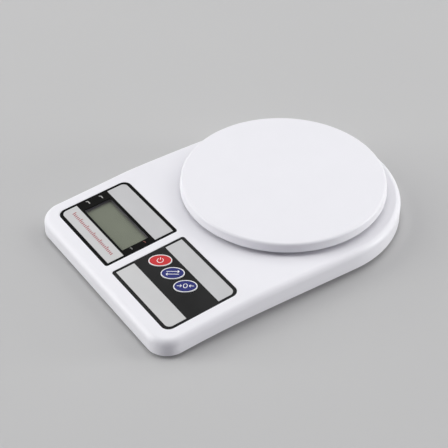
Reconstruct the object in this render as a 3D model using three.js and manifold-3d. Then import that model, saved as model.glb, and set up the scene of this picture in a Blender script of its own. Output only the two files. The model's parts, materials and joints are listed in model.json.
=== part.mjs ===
// A battery kitchen scale with a round weighing plate, in millimetres.
// X is to the user's right, Y runs from the keys to the rear, and Z is up from the table.
import * as THREE from "three";
import { mergeVertices } from "three/addons/utils/BufferGeometryUtils.js";
import Module from "manifold-3d";

const wasm = await Module();
wasm.setup();

// Body
const BODY_LENGTH = 239.6;
const BODY_WIDTH = 166.5;
const FRONT_WIDTH = 164;
const CORNER_RADIUS = 16;
const FOOT_HEIGHT = 2;
const FRONT_WALL = 12.75;
const REAR_WALL = 14.9;
const SKIRT_ARCH = 3.6;
const CREST_SETBACK = 69.8;
const CREST_EASE = 8;
const DECK_SLOPE_SHARE = 0.0739;
const EDGE_RADIUS = 5;
const SKIRT_LIP = 0.5;
const SHELL = 2;
const SHELL_RIB = 1.2;
const SHELL_RIB_DEPTH = 1.8;
const CLEARANCE = 0.3;
const FIT = 0.1;
const SEAT_GAP = 0.05;
const OVERRUN = 5;

// Weighing plate and its carrier
const PLATE_DIAMETER = 147;
const PLATE_SETBACK = 1.05;
const PLATE_TOP = 30.65;
const PLATE_RIM = 6.5;
const PLATE_THICKNESS = 2.2;
const PLATE_EDGE_RADIUS = 2;
const PLATE_DRAFT = 0.5;
const PLATE_RIB = 1.2;
const PLATE_RIB_DEPTH = 2.2;
const HUB_RADIUS = 27;
const HUB_WALL = 2;
const HUB_SEAT = 3;
const HUB_SKIRT = 5.3;
const HUB_GAP = 2;
const LOAD_GAP = 0.3;

// Overlays, as lengths along the sloped deck
const OVERLAY_SIDE_MARGIN = 10.6;
const OVERLAY_GAP = 6.7;
const OVERLAY_LENGTH = 57.4;
const OVERLAY_FRONT_MARGIN = 11.03;
const OVERLAY_OUTER_RADIUS = 6;
const OVERLAY_INNER_RADIUS = 2;
const FILM = 0.3;
const STRIP = 0.1;
const LONG_BORDER = 2.6;
const SHORT_BORDER = 2.1;
const DISPLAY_FRONT_STRIP = 15;
const DISPLAY_BAND = 25.1;
const KEY_FRONT_STRIP = 16.7;
const KEY_BAND = 24.9;

// Display
const WINDOW_HEIGHT = 21.1;
const WINDOW_LEFT = 9.9;
const WINDOW_RIGHT = 6.95;
const WINDOW_FRONT = 1.9;
const WINDOW_REBATE = 1.2;
const LENS = 0.8;
const GLASS_THICKNESS = 2.8;
const GLASS_MARGIN = 2.7;
const BEZEL_WALL = 1.2;
const CONNECTOR_HEIGHT = 1.15;
const CONNECTOR_WIDTH = 2;

// Circuit board
const BOARD_THICKNESS = 1.6;
const BOARD_LEFT_OVERHANG = 2.9;
const BOARD_RIGHT_SETBACK = 9.4;
const BOARD_DEPTH = 36;
const BOARD_INSET = 4;
const BOARD_NOTCH = 4;
const BOARD_POST_RADIUS = 3;
const CHIP_RADIUS = 6;
const CHIP_HEIGHT = 1.5;
const CHIP_OFFSET = 18;

// Keys
const KEY_FIRST = 14.1;
const KEY_PITCH = 15.35;
const KEY_BACK = 3.3;
const KEY_LONG = 8.3;
const KEY_SHORT = 5.8;
const KEY_TURN = THREE.MathUtils.degToRad(51);
const KEY_FLANGE = 0.55;
const KEY_FLANGE_THICKNESS = 0.8;
const KEY_RISE = 0.55;
const KEY_CLEARANCE = 0.2;
const KEY_ROUND = 0.3;
const KEY_STEM_RADIUS = 2.2;
const RING_WIDTH = 0.85;
const RING_DEPTH = 0.5;
const RING_RISE = 0.35;
const SWITCH_SIDE = 6;
const SWITCH_HEIGHT = 2.2;
const PLUNGER_RADIUS = 1.7;
const PLUNGER_RISE = 0.8;
const PLUNGER_DEPTH = 0.6;
const PLUNGER_WELL = 1.2;

// Load cell
const CELL_LENGTH = 64;
const CELL_WIDTH = 12.7;
const CELL_THICKNESS = 7.5;
const CELL_OFFSET = 10;
const CELL_END = 18;
const CELL_HOLE_PITCH = 9;
const CELL_HOLE_RADIUS = 2.1;
const CELL_SEAT = 2.7;
const CELL_SEAT_MARGIN = 1.2;
const CELL_SPACER = 1;
const GAUGE_HOLE_RADIUS = 2.8;
const GAUGE_HOLE_PITCH = 13;
const GAUGE_SLOT = 2;
const SEAL_THICKNESS = 0.6;
const SEAL_WIDTH = 15;
const LEAD_DIAMETER = 1.8;

// Lower housing
const TRAY_INSET = 7;
const TRAY_BEVEL = 4.4;
const TRAY_HEIGHT = 7;
const TRAY_FLOOR = 1.8;
const TRAY_WALL = 1.6;
const TRAY_RIB = 1.2;
const TRAY_RIB_HEIGHT = 2.6;
const TRAY_RIB_SPREAD = 42;
const FOOT_RADIUS = 6.5;
const FOOT_POCKET = 0.8;
const FOOT_CHAMFER = 0.6;
const FOOT_SHARES = [
  [0.7, -0.72],
  [0.57, 0.62],
];

// Battery bay
const BAY_Y = -26;
const BAY_WIDTH = 57;
const BAY_DEPTH = 32.4;
const BAY_WALL = 1.5;
const BAY_HEIGHT = 13.2;
const HATCH_WIDTH = 54;
const HATCH_FRONT_LEDGE = 3.2;
const HATCH_REAR_LEDGE = 0.5;
const COVER_THICKNESS = 1.4;
const COVER_GRIP = 0.8;
const TONGUE_REACH = 1.6;
const TONGUE_THICKNESS = 0.7;
const TONGUE_WIDTH = 8;
const TONGUE_POST = 0.8;
const TONGUE_LIFT = 0.15;
const LATCH_WIDTH = 12;
const LATCH_THICKNESS = 1;
const LATCH_HEIGHT = 3.6;
const LATCH_NIB = 0.2;
const LATCH_STANDOFF = 0.6;
const THUMB_RADIUS = 7;
const THUMB_DEPTH = 0.9;
const BATTERY_RADIUS = 7;
const BATTERY_LENGTH = 48.8;
const BATTERY_NUB = 1.2;
const BATTERY_NUB_RADIUS = 2.7;
const BATTERY_PITCH = 14.7;
const BATTERY_LIFT = 0.25;
const CONTACT_THICKNESS = 0.4;
const CONTACT_SIDE = 9.5;
const SPRING_RADIUS = 3.2;
const SPRING_TIP_RADIUS = 2.2;
const SPRING_WIRE = 0.4;
const SPRING_TURNS = 3;

// Screws
const HEAD_RADIUS = 2.7;
const HEAD_HEIGHT = 1.7;
const SHANK_RADIUS = 1.2;
const SHANK_LENGTH = 7;
const SCREW_POST_RADIUS = 3.3;
const SCREW_POST_ROOF = 2.5;
const SCREW_BOSS_RADIUS = 4.2;
const SCREW_BOSS_HEIGHT = 5.6;
const SCREW_BOSS_SEAT = 3.4;
const SCREW_SHARES = [
  [0.745, -0.885],
  [0.84, -0.317],
  [0.6, 0.76],
];
const BOARD_HEAD_RADIUS = 2.1;
const BOARD_HEAD_HEIGHT = 1.2;
const BOARD_SHANK_RADIUS = 0.95;
const BOARD_SHANK_LENGTH = 4.6;
const BOLT_RADIUS = 1.8;
const BOLT_HEAD_RADIUS = 3.1;
const BOLT_HEAD_HEIGHT = 1.7;

// Facets
const CORNER_STEPS = 5;
const FRONT_SIDE_STEPS = 3;
const REAR_SIDE_STEPS = 6;
const REAR_STEPS = 11;
const EDGE_STEPS = 4;
const OVAL_STEPS = 20;
const ROUND_STEPS = 16;
const HUB_STEPS = 36;
const PLATE_STEPS = 56;
const SCREW_STEPS = 8;
const LEAD_STEPS = 38;

// Places worked out from the sizes above
const FRONT_Y = -BODY_LENGTH / 2;
const REAR_Y = BODY_LENGTH / 2;
const REAR_RADIUS = BODY_WIDTH / 2;
const REAR_CENTRE = REAR_Y - REAR_RADIUS;
const CREST_Y = FRONT_Y + CREST_SETBACK;
const PLATE_Y = REAR_CENTRE - PLATE_SETBACK;
const DECK_ANGLE = Math.atan(DECK_SLOPE_SHARE);
const PANEL_Y = FRONT_Y + OVERLAY_FRONT_MARGIN + (OVERLAY_LENGTH / 2) * Math.cos(DECK_ANGLE);
const RECESS = FILM + STRIP + 2 * SEAT_GAP;
const FLOOR_TOP = FOOT_HEIGHT + TRAY_FLOOR;

const finish = {
  white: { color: 0xeeeef2, roughness: 0.38, metalness: 0 },
  tray: { color: 0xe4e4ea, roughness: 0.5, metalness: 0 },
  black: { color: 0x1b1b1d, roughness: 0.3, metalness: 0 },
  silver: { color: 0xc6c9c6, roughness: 0.42, metalness: 0.25 },
  lens: { color: 0xf2f5f4, roughness: 0.06, metalness: 0, transparent: true, opacity: 0.25 },
  glass: { color: 0x7d8276, roughness: 0.2, metalness: 0 },
  red: { color: 0xd2363b, roughness: 0.3, metalness: 0 },
  blue: { color: 0x2a3178, roughness: 0.3, metalness: 0 },
  board: { color: 0x2f6b3c, roughness: 0.5, metalness: 0 },
  resin: { color: 0x101012, roughness: 0.25, metalness: 0 },
  rubber: { color: 0x8d8f92, roughness: 0.85, metalness: 0 },
  darkRubber: { color: 0x3a3b3d, roughness: 0.8, metalness: 0 },
  aluminium: { color: 0xc9ccd0, roughness: 0.35, metalness: 1 },
  steel: { color: 0xb4b6ba, roughness: 0.3, metalness: 1 },
  wrapper: { color: 0x32523b, roughness: 0.35, metalness: 0.2 },
};

// Solids: joined and cut as closed meshes
function solid(shape) {
  if (shape instanceof wasm.Manifold) return shape;
  const plain = shape.clone();
  plain.deleteAttribute("normal");
  plain.deleteAttribute("uv");
  const merged = mergeVertices(plain);
  const corners = merged.index.array;
  const kept = [];
  for (let i = 0; i < corners.length; i += 3) {
    const [a, b, c] = corners.slice(i, i + 3);
    if (a !== b && b !== c && c !== a) kept.push(a, b, c);
  }
  const vertProperties = merged.attributes.position.array;
  const triVerts = new Uint32Array(kept);
  return new wasm.Manifold(new wasm.Mesh({ numProp: 3, vertProperties, triVerts }));
}

function join(first, ...others) {
  return others.flat().reduce((sum, other) => sum.add(solid(other)), solid(first));
}

function cut(first, ...others) {
  return others.flat().reduce((rest, other) => rest.subtract(solid(other)), solid(first));
}

function common(first, second) {
  return solid(first).intersect(solid(second));
}

function geometryOf(shape) {
  const mesh = solid(shape).getMesh();
  const geometry = new THREE.BufferGeometry();
  geometry.setAttribute("position", new THREE.BufferAttribute(mesh.vertProperties, mesh.numProp));
  geometry.setIndex(new THREE.BufferAttribute(mesh.triVerts, 1));
  const faceted = geometry.toNonIndexed();
  faceted.computeVertexNormals();
  return faceted;
}

// Plain forms
function prism(outline, bottom, top) {
  const options = { depth: top - bottom, bevelEnabled: false };
  return new THREE.ExtrudeGeometry(outline, options).translate(0, 0, bottom);
}

// Radii run anticlockwise from the front left corner
function rectangle(left, right, front, rear, radii = [0, 0, 0, 0]) {
  const corners = [
    [left, front, 1, 1],
    [right, front, -1, 1],
    [right, rear, -1, -1],
    [left, rear, 1, -1],
  ];
  const points = corners.flatMap(([x, y, inX, inY], corner) => {
    const radius = radii[corner];
    if (radius === 0) return [new THREE.Vector2(x, y)];
    const centre = new THREE.Vector2(x + inX * radius, y + inY * radius);
    const arc = [];
    for (let i = 0; i <= CORNER_STEPS; i += 1) {
      const turn = (corner + 2 + i / CORNER_STEPS) * (Math.PI / 2);
      arc.push(new THREE.Vector2(radius * Math.cos(turn), radius * Math.sin(turn)).add(centre));
    }
    return arc;
  });
  return new THREE.Shape(points);
}

function block(left, right, front, rear, bottom, top) {
  return prism(rectangle(left, right, front, rear), bottom, top);
}

// A profile of radius and height pairs, from the axis at the bottom to the axis at the top
function turned(profile, steps = ROUND_STEPS) {
  const points = profile.map(([radius, height]) => new THREE.Vector2(radius, height));
  return new THREE.LatheGeometry(points, steps).rotateX(Math.PI / 2);
}

function rod(radius, bottom, top, { x, y }, steps = ROUND_STEPS) {
  const profile = [
    [0, bottom],
    [radius, bottom],
    [radius, top],
    [0, top],
  ];
  return turned(profile, steps).translate(x, y, 0);
}

// Quads between neighbouring rings of points, and a cap over each end
function skin(rings, cap) {
  const count = rings[0].length;
  const points = rings.flat();
  const faces = [];
  for (let level = 0; level + 1 < rings.length; level += 1) {
    for (let i = 0; i < count; i += 1) {
      const [a, b] = [level * count + i, level * count + ((i + 1) % count)];
      faces.push(a, b, b + count, a, b + count, a + count);
    }
  }
  faces.push(...cap(0, count, points).reverse());
  faces.push(...cap((rings.length - 1) * count, count, points));
  const geometry = new THREE.BufferGeometry().setFromPoints(points);
  geometry.setIndex(faces);
  return geometry;
}

// Strips across a mirrored ring, which keep a height that depends on y alone
function stripCap(start, count) {
  const middle = (count - 1) / 2;
  const faces = [];
  for (let i = 0; i < middle; i += 1) {
    const [right, left] = [start + i, start + count - 1 - i];
    faces.push(right, right + 1, left);
    if (i + 1 < middle) faces.push(right + 1, left - 1, left);
  }
  return faces;
}

function fanCap(start, count, points) {
  const middle = new THREE.Vector3();
  for (let i = 0; i < count; i += 1) middle.add(points[start + i]);
  const centre = points.push(middle.divideScalar(count)) - 1;
  const faces = [];
  for (let i = 0; i < count; i += 1) faces.push(start + i, start + ((i + 1) % count), centre);
  return faces;
}

// Heights of the sloped deck and of the arched lower edge
function deckHeight(y) {
  const front = FOOT_HEIGHT + FRONT_WALL;
  if (y <= CREST_Y) return front + DECK_SLOPE_SHARE * (y - FRONT_Y);
  const crest = front + DECK_SLOPE_SHARE * CREST_SETBACK;
  const ease = (back) => DECK_SLOPE_SHARE * CREST_EASE * (1 - Math.exp(-back / CREST_EASE));
  const reach = REAR_Y - CREST_Y;
  const fall = crest + ease(reach) - FOOT_HEIGHT - REAR_WALL;
  return crest + ease(y - CREST_Y) - fall * ((y - CREST_Y) / reach) ** 2;
}

function skirtHeight(y) {
  const share = y < CREST_Y ? (y - FRONT_Y) / CREST_SETBACK : (REAR_Y - y) / (REAR_Y - CREST_Y);
  return FOOT_HEIGHT + SKIRT_ARCH * Math.sin((Math.max(share, 0) * Math.PI) / 2);
}

// The body's plan outline drawn in by inset: right half from the front corner, then its mirror
function bodyRing(inset, height) {
  const right = [];
  const sideStart = FRONT_Y + CORNER_RADIUS;
  const sideAt = (y) => {
    const share = (y - sideStart) / (REAR_CENTRE - sideStart);
    const eased = share * share * (3 - 2 * share);
    return [THREE.MathUtils.lerp(FRONT_WIDTH / 2, REAR_RADIUS, eased) - inset, y];
  };
  for (let i = 0; i <= CORNER_STEPS; i += 1) {
    const turn = (i / CORNER_STEPS - 1) * (Math.PI / 2);
    const radius = CORNER_RADIUS - inset;
    const x = FRONT_WIDTH / 2 - CORNER_RADIUS + radius * Math.cos(turn);
    right.push([x, sideStart + radius * Math.sin(turn)]);
  }
  for (let i = 1; i <= FRONT_SIDE_STEPS; i += 1) {
    right.push(sideAt(THREE.MathUtils.lerp(sideStart, CREST_Y, i / FRONT_SIDE_STEPS)));
  }
  for (let i = 1; i < REAR_SIDE_STEPS; i += 1) {
    right.push(sideAt(THREE.MathUtils.lerp(CREST_Y, REAR_CENTRE, (i / REAR_SIDE_STEPS) ** 2)));
  }
  for (let i = 0; i < REAR_STEPS; i += 1) {
    const turn = (i / REAR_STEPS) * (Math.PI / 2);
    const radius = REAR_RADIUS - inset;
    right.push([radius * Math.cos(turn), REAR_CENTRE + radius * Math.sin(turn)]);
  }
  const rear = [0, REAR_Y - inset];
  const left = right.map(([x, y]) => [-x, y]).reverse();
  return [...right, rear, ...left].map(([x, y]) => new THREE.Vector3(x, y, height(y)));
}

// The body's form under its deck, a wall's thickness inside it, with the rounded upper edge
function bodyForm(wall, lowest) {
  const radius = EDGE_RADIUS - wall;
  const rings = [...lowest];
  for (let i = 0; i <= EDGE_STEPS; i += 1) {
    const turn = (i / EDGE_STEPS) * (Math.PI / 2);
    const drop = wall + radius * (1 - Math.sin(turn));
    rings.push(bodyRing(wall + radius * (1 - Math.cos(turn)), (y) => deckHeight(y) - drop));
  }
  return skin(rings, stripCap);
}

// The sloped deck's own frame: x to the right, y up the slope, z square to the deck
const panelMatrix = new THREE.Matrix4()
  .makeTranslation(0, PANEL_Y, deckHeight(PANEL_Y))
  .multiply(new THREE.Matrix4().makeRotationX(DECK_ANGLE));
const onDeck = (geometry) => geometry.applyMatrix4(panelMatrix);

// Places in the deck's frame
const panelFront = -OVERLAY_LENGTH / 2;
const panelRear = OVERLAY_LENGTH / 2;
const overlayInner = OVERLAY_GAP / 2;
const overlayOuter = FRONT_WIDTH / 2 - OVERLAY_SIDE_MARGIN;
const filmTop = -STRIP - SEAT_GAP;
const lensTop = -RECESS;
const lensBottom = lensTop - LENS;
const flangeTop = -SHELL - SEAT_GAP;
const glassTop = -SHELL - CLEARANCE;
const glassBottom = glassTop - GLASS_THICKNESS;
const boardTop = glassBottom - CONNECTOR_HEIGHT;
const boardBottom = boardTop - BOARD_THICKNESS;
const switchBottom = boardTop + SEAT_GAP;
const switchTop = boardTop + SWITCH_HEIGHT;
const plungerTop = switchTop + PLUNGER_RISE;
const windowLeft = WINDOW_LEFT - overlayOuter;
const windowRight = -overlayInner - WINDOW_RIGHT;
const windowFront = panelFront + DISPLAY_FRONT_STRIP + WINDOW_FRONT;
const windowRear = windowFront + WINDOW_HEIGHT;
const outerCorners = { display: [true, false, false, true], key: [false, true, true, false] };
const overlayRadii = (side) =>
  outerCorners[side].map((outer) => (outer ? OVERLAY_OUTER_RADIUS : OVERLAY_INNER_RADIUS));
const keyPlaces = [0, 1, 2].map((i) => ({ x: KEY_FIRST + i * KEY_PITCH, y: KEY_BACK }));
const boardLeft = -overlayOuter - BOARD_LEFT_OVERHANG;
const boardRight = overlayOuter - BOARD_RIGHT_SETBACK;
const boardHoles = [boardLeft + BOARD_INSET, boardRight - BOARD_INSET].flatMap((x) =>
  [-1, 1].map((end) => ({ x, y: end * (BOARD_DEPTH / 2 - BOARD_INSET) })),
);

// Places in plan
const mirroredPlaces = (shares) =>
  shares.flatMap(([across, along]) =>
    [-1, 1].map((side) => ({ x: (side * across * BODY_WIDTH) / 2, y: (along * BODY_LENGTH) / 2 })),
  );
const screwPlaces = mirroredPlaces(SCREW_SHARES);
const footPlaces = mirroredPlaces(FOOT_SHARES);
const cellLeft = -CELL_OFFSET - CELL_LENGTH / 2;
const cellRight = cellLeft + CELL_LENGTH;
const cellFront = PLATE_Y - CELL_WIDTH / 2;
const cellRear = PLATE_Y + CELL_WIDTH / 2;
const spacerBottom = FLOOR_TOP + CELL_SEAT;
const cellBottom = spacerBottom + CELL_SPACER;
const cellTop = cellBottom + CELL_THICKNESS;
const boltPair = (middle) =>
  [-1, 1].map((side) => ({ x: middle + (side * CELL_HOLE_PITCH) / 2, y: PLATE_Y }));
const fixedBolts = boltPair(cellLeft + CELL_END / 2);
const freeBolts = boltPair(cellRight - CELL_END / 2);
const bayFront = BAY_Y - BAY_DEPTH / 2;
const bayRear = BAY_Y + BAY_DEPTH / 2;

function windowBox(grow, bottom, top) {
  return block(windowLeft - grow, windowRight + grow, windowFront - grow, windowRear + grow, bottom, top);
}

// A key's oval outline, drawn in by inset and turned on the deck
function ovalRing(inset, height, { x, y }) {
  const upright = new THREE.Vector3(0, 0, 1);
  const ring = [];
  for (let i = 0; i < OVAL_STEPS; i += 1) {
    const turn = (i / OVAL_STEPS) * 2 * Math.PI;
    const [along, across] = [(KEY_LONG - inset) * Math.cos(turn), (KEY_SHORT - inset) * Math.sin(turn)];
    const point = new THREE.Vector3(along, across, height).applyAxisAngle(upright, KEY_TURN);
    ring.push(point.add(new THREE.Vector3(x, y, 0)));
  }
  return ring;
}

function ovalSolid(levels, spot) {
  const rings = levels.map(([inset, height]) => ovalRing(inset, height, spot));
  return skin(rings, fanCap);
}

function keyHole(spot) {
  const levels = [
    [-KEY_CLEARANCE, -SHELL - OVERRUN],
    [-KEY_CLEARANCE, OVERRUN],
  ];
  return ovalSolid(levels, spot);
}

// Upper housing: moulded shell with its ribs and screw posts
function upperHousing() {
  const lip = [bodyRing(SKIRT_LIP, skirtHeight), bodyRing(0, (y) => skirtHeight(y) + SKIRT_LIP)];
  const outer = bodyForm(0, lip);
  const inner = bodyForm(SHELL, [bodyRing(SHELL, () => -OVERRUN)]);
  const core = bodyForm(SHELL / 2, [bodyRing(SHELL / 2, () => 0)]);
  const middle = { x: 0, y: PLATE_Y };
  const ribBottom = deckHeight(PLATE_Y) - SHELL - SHELL_RIB_DEPTH;
  const ribs = [1, 2, 3, 4, 5].map((i) =>
    block(HUB_RADIUS, REAR_RADIUS, -SHELL_RIB / 2, SHELL_RIB / 2, ribBottom, PLATE_TOP)
      .rotateZ((i / 6) * Math.PI)
      .translate(0, PLATE_Y, 0),
  );
  const collar = rod(HUB_RADIUS + HUB_GAP + SHELL, ribBottom, PLATE_TOP, middle, HUB_STEPS);
  const postBottom = FOOT_HEIGHT + SCREW_BOSS_HEIGHT + CLEARANCE;
  const posts = screwPlaces.map((spot) => rod(SCREW_POST_RADIUS, postBottom, PLATE_TOP, spot));
  const boardPosts = boardHoles.map((spot) => onDeck(rod(BOARD_POST_RADIUS, boardTop + SEAT_GAP, 0, spot)));
  const shell = join(cut(outer, inner), common(join(collar, ribs, posts, boardPosts), core));

  const recess = (left, right, side) => {
    const outline = rectangle(left, right, panelFront - FIT, panelRear + FIT, overlayRadii(side));
    return onDeck(prism(outline, -RECESS, OVERRUN));
  };
  const pilots = screwPlaces.map((spot) =>
    rod(SHANK_RADIUS + FIT, 0, deckHeight(spot.y) - SCREW_POST_ROOF, spot, SCREW_STEPS),
  );
  const boardPilots = boardHoles.map((spot) =>
    onDeck(rod(BOARD_SHANK_RADIUS + FIT, boardTop - OVERRUN, -SCREW_POST_ROOF, spot, SCREW_STEPS)),
  );
  return cut(
    shell,
    recess(-overlayOuter - FIT, -overlayInner + FIT, "display"),
    recess(overlayInner - FIT, overlayOuter + FIT, "key"),
    onDeck(windowBox(WINDOW_REBATE, -SHELL - OVERRUN, OVERRUN)),
    keyPlaces.map((spot) => onDeck(keyHole(spot))),
    rod(HUB_RADIUS + HUB_GAP, 0, PLATE_TOP, middle, HUB_STEPS),
    pilots,
    boardPilots,
  );
}

// Lower housing: tray with a bevelled bottom edge, battery bay, load cell seat and bosses
function trayShell() {
  const wallInset = SHELL + CLEARANCE;
  const level = (height) => () => FOOT_HEIGHT + height;
  const outer = [
    bodyRing(TRAY_INSET, level(0)),
    bodyRing(wallInset, level(TRAY_BEVEL)),
    bodyRing(wallInset, level(TRAY_HEIGHT)),
  ];
  const inner = [
    bodyRing(TRAY_INSET + TRAY_WALL, level(TRAY_FLOOR)),
    bodyRing(wallInset + TRAY_WALL, level(TRAY_BEVEL + TRAY_WALL / 2)),
    bodyRing(wallInset + TRAY_WALL, level(TRAY_HEIGHT + OVERRUN)),
  ];
  return cut(skin(outer, stripCap), skin(inner, stripCap));
}

function trayRibs() {
  const top = FLOOR_TOP + TRAY_RIB_HEIGHT;
  const half = TRAY_RIB / 2;
  const long = [-1, 1].map((side) => {
    const x = side * TRAY_RIB_SPREAD;
    return block(x - half, x + half, bayFront, REAR_CENTRE, FOOT_HEIGHT, top);
  });
  const cross = [cellFront - CELL_WIDTH, cellRear + CELL_WIDTH].map((y) =>
    block(-TRAY_RIB_SPREAD, TRAY_RIB_SPREAD, y - half, y + half, FOOT_HEIGHT, top),
  );
  return cut(join(long[0], long[1], cross), leadTube(LEAD_DIAMETER / 2 + CLEARANCE));
}

function lowerHousing() {
  const wall = BAY_WALL;
  const [bayLeft, bayRight] = [-BAY_WIDTH / 2, BAY_WIDTH / 2];
  const bayTop = FLOOR_TOP + BAY_HEIGHT;
  const bay = block(bayLeft - wall, bayRight + wall, bayFront - wall, bayRear + wall, FOOT_HEIGHT, bayTop);
  const hatchRear = bayRear - HATCH_REAR_LEDGE;
  const seat = block(
    cellLeft - CELL_SEAT_MARGIN,
    cellLeft + CELL_END,
    cellFront - CELL_SEAT_MARGIN,
    cellRear + CELL_SEAT_MARGIN,
    FOOT_HEIGHT,
    spacerBottom,
  );
  const bossTop = FOOT_HEIGHT + SCREW_BOSS_HEIGHT;
  const bosses = screwPlaces.map((spot) => rod(SCREW_BOSS_RADIUS, FOOT_HEIGHT, bossTop, spot));
  const tray = join(trayShell(), trayRibs(), seat, bosses, bay);

  const boltSeat = FOOT_HEIGHT + BOLT_HEAD_HEIGHT + CLEARANCE;
  const boltHoles = fixedBolts.flatMap((spot) => [
    rod(BOLT_RADIUS + CLEARANCE, 0, spacerBottom + OVERRUN, spot, SCREW_STEPS),
    rod(BOLT_HEAD_RADIUS + CLEARANCE, 0, boltSeat, spot),
  ]);
  const screwHoles = screwPlaces.flatMap((spot) => [
    rod(SHANK_RADIUS + CLEARANCE, 0, bossTop + OVERRUN, spot, SCREW_STEPS),
    rod(HEAD_RADIUS + CLEARANCE, 0, FOOT_HEIGHT + SCREW_BOSS_SEAT, spot),
  ]);
  const pocketTop = FOOT_HEIGHT + FOOT_POCKET;
  return cut(
    tray,
    block(bayLeft, bayRight, bayFront, bayRear, FLOOR_TOP, bayTop + OVERRUN),
    block(-HATCH_WIDTH / 2, HATCH_WIDTH / 2, bayFront + HATCH_FRONT_LEDGE, hatchRear, 0, bayTop),
    rod(THUMB_RADIUS, 0, FOOT_HEIGHT + THUMB_DEPTH, { x: 0, y: hatchRear }),
    footPlaces.map((spot) => rod(FOOT_RADIUS + FIT, 0, pocketTop, spot)),
    boltHoles,
    screwHoles,
  );
}

// Weighing plate: turned-down rim, hub ring, seat bars and radial ribs underneath
function weighingPlate() {
  const radius = PLATE_DIAMETER / 2;
  const under = PLATE_TOP - PLATE_THICKNESS;
  const bottom = PLATE_TOP - PLATE_RIM;
  const inside = radius - PLATE_THICKNESS;
  const profile = [
    [0, under],
    [inside - PLATE_EDGE_RADIUS, under],
    [inside - PLATE_DRAFT, under - PLATE_EDGE_RADIUS + PLATE_DRAFT],
    [inside, bottom],
    [radius, bottom],
  ];
  for (let i = 0; i <= EDGE_STEPS; i += 1) {
    const turn = (i / EDGE_STEPS) * (Math.PI / 2);
    const out = radius - PLATE_DRAFT - PLATE_EDGE_RADIUS * (1 - Math.cos(turn));
    profile.push([out, PLATE_TOP - PLATE_EDGE_RADIUS * (1 - Math.sin(turn))]);
  }
  profile.push([0, PLATE_TOP]);
  const dish = turned(profile, PLATE_STEPS);

  const middle = { x: 0, y: 0 };
  const ringInside = HUB_RADIUS + CLEARANCE;
  const ringMiddle = ringInside + HUB_WALL / 2;
  const inDish = PLATE_TOP - PLATE_THICKNESS / 2;
  const hub = cut(
    rod(ringInside + HUB_WALL, bottom, inDish, middle, HUB_STEPS),
    rod(ringInside, bottom - OVERRUN, under, middle, HUB_STEPS),
  );
  const bar = (from, to, depth) => block(from, to, -PLATE_RIB / 2, PLATE_RIB / 2, under - depth, inDish);
  const ribs = [];
  for (let i = 0; i < 12; i += 1) {
    ribs.push(bar(ringMiddle, inside - PLATE_DRAFT, PLATE_RIB_DEPTH).rotateZ((i / 6) * Math.PI));
  }
  const seatBars = [0, 1].map((i) => bar(-ringMiddle, ringMiddle, HUB_SEAT).rotateZ((i / 2) * Math.PI));
  return join(dish, hub, ribs, seatBars).translate([0, PLATE_Y, 0]);
}

// Plate carrier: ribbed cup with a foot over the load cell's free end
function plateCarrier() {
  const top = PLATE_TOP - PLATE_THICKNESS - HUB_SEAT - FIT;
  const roof = top - HUB_WALL;
  const bottom = roof - HUB_SKIRT;
  const inside = HUB_RADIUS - HUB_WALL;
  const profile = [
    [0, roof],
    [inside, roof],
    [inside, bottom],
    [HUB_RADIUS, bottom],
    [HUB_RADIUS, top - PLATE_DRAFT],
    [HUB_RADIUS - PLATE_DRAFT, top],
    [0, top],
  ];
  const cup = turned(profile, HUB_STEPS);
  const reach = inside + HUB_WALL / 2;
  const inRoof = top - HUB_WALL / 2;
  const ribs = [0, 1, 2, 3].map((i) => {
    const rib = block(-reach, reach, -PLATE_RIB / 2, PLATE_RIB / 2, bottom + HUB_WALL, inRoof);
    return rib.rotateZ((i / 4) * Math.PI);
  });
  const footLeft = cellRight - CELL_END + CLEARANCE;
  const half = CELL_WIDTH / 2;
  const foot = block(footLeft, cellRight, -half, half, cellTop + LOAD_GAP, inRoof);
  const pilots = freeBolts.map(({ x }) => rod(BOLT_RADIUS + FIT, 0, roof, { x, y: 0 }, SCREW_STEPS));
  return cut(join(cup, ribs, foot), pilots).translate([0, PLATE_Y, 0]);
}

// Load cell: aluminium bar thinned by two cross holes that a slot joins
function boltHolesThrough(bolts, bottom, top) {
  return bolts.map((spot) => rod(CELL_HOLE_RADIUS, bottom - OVERRUN, top + OVERRUN, spot, SCREW_STEPS));
}

function loadCell() {
  const bar = block(cellLeft, cellRight, cellFront, cellRear, cellBottom, cellTop);
  const middle = (cellBottom + cellTop) / 2;
  const across = (geometry) => geometry.rotateX(Math.PI / 2).translate(-CELL_OFFSET, PLATE_Y, middle);
  const [reach, half] = [GAUGE_HOLE_PITCH / 2, GAUGE_SLOT / 2];
  const gauge = [-reach, reach].map((x) =>
    across(rod(GAUGE_HOLE_RADIUS, -CELL_WIDTH, CELL_WIDTH, { x, y: 0 })),
  );
  const slot = across(block(-reach, reach, -half, half, -CELL_WIDTH, CELL_WIDTH));
  return cut(bar, gauge, slot, boltHolesThrough([...fixedBolts, ...freeBolts], cellBottom, cellTop));
}

function cellSpacer() {
  const plate = block(cellLeft, cellLeft + CELL_END, cellFront, cellRear, spacerBottom, cellBottom);
  return cut(plate, boltHolesThrough(fixedBolts, spacerBottom, cellBottom));
}

function gaugeSeal() {
  const band = (grow, half) =>
    block(
      -CELL_OFFSET - half,
      -CELL_OFFSET + half,
      cellFront - grow,
      cellRear + grow,
      cellBottom - grow,
      cellTop + grow,
    );
  return cut(band(SEAL_THICKNESS, SEAL_WIDTH / 2), band(FIT, SEAL_WIDTH));
}

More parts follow.
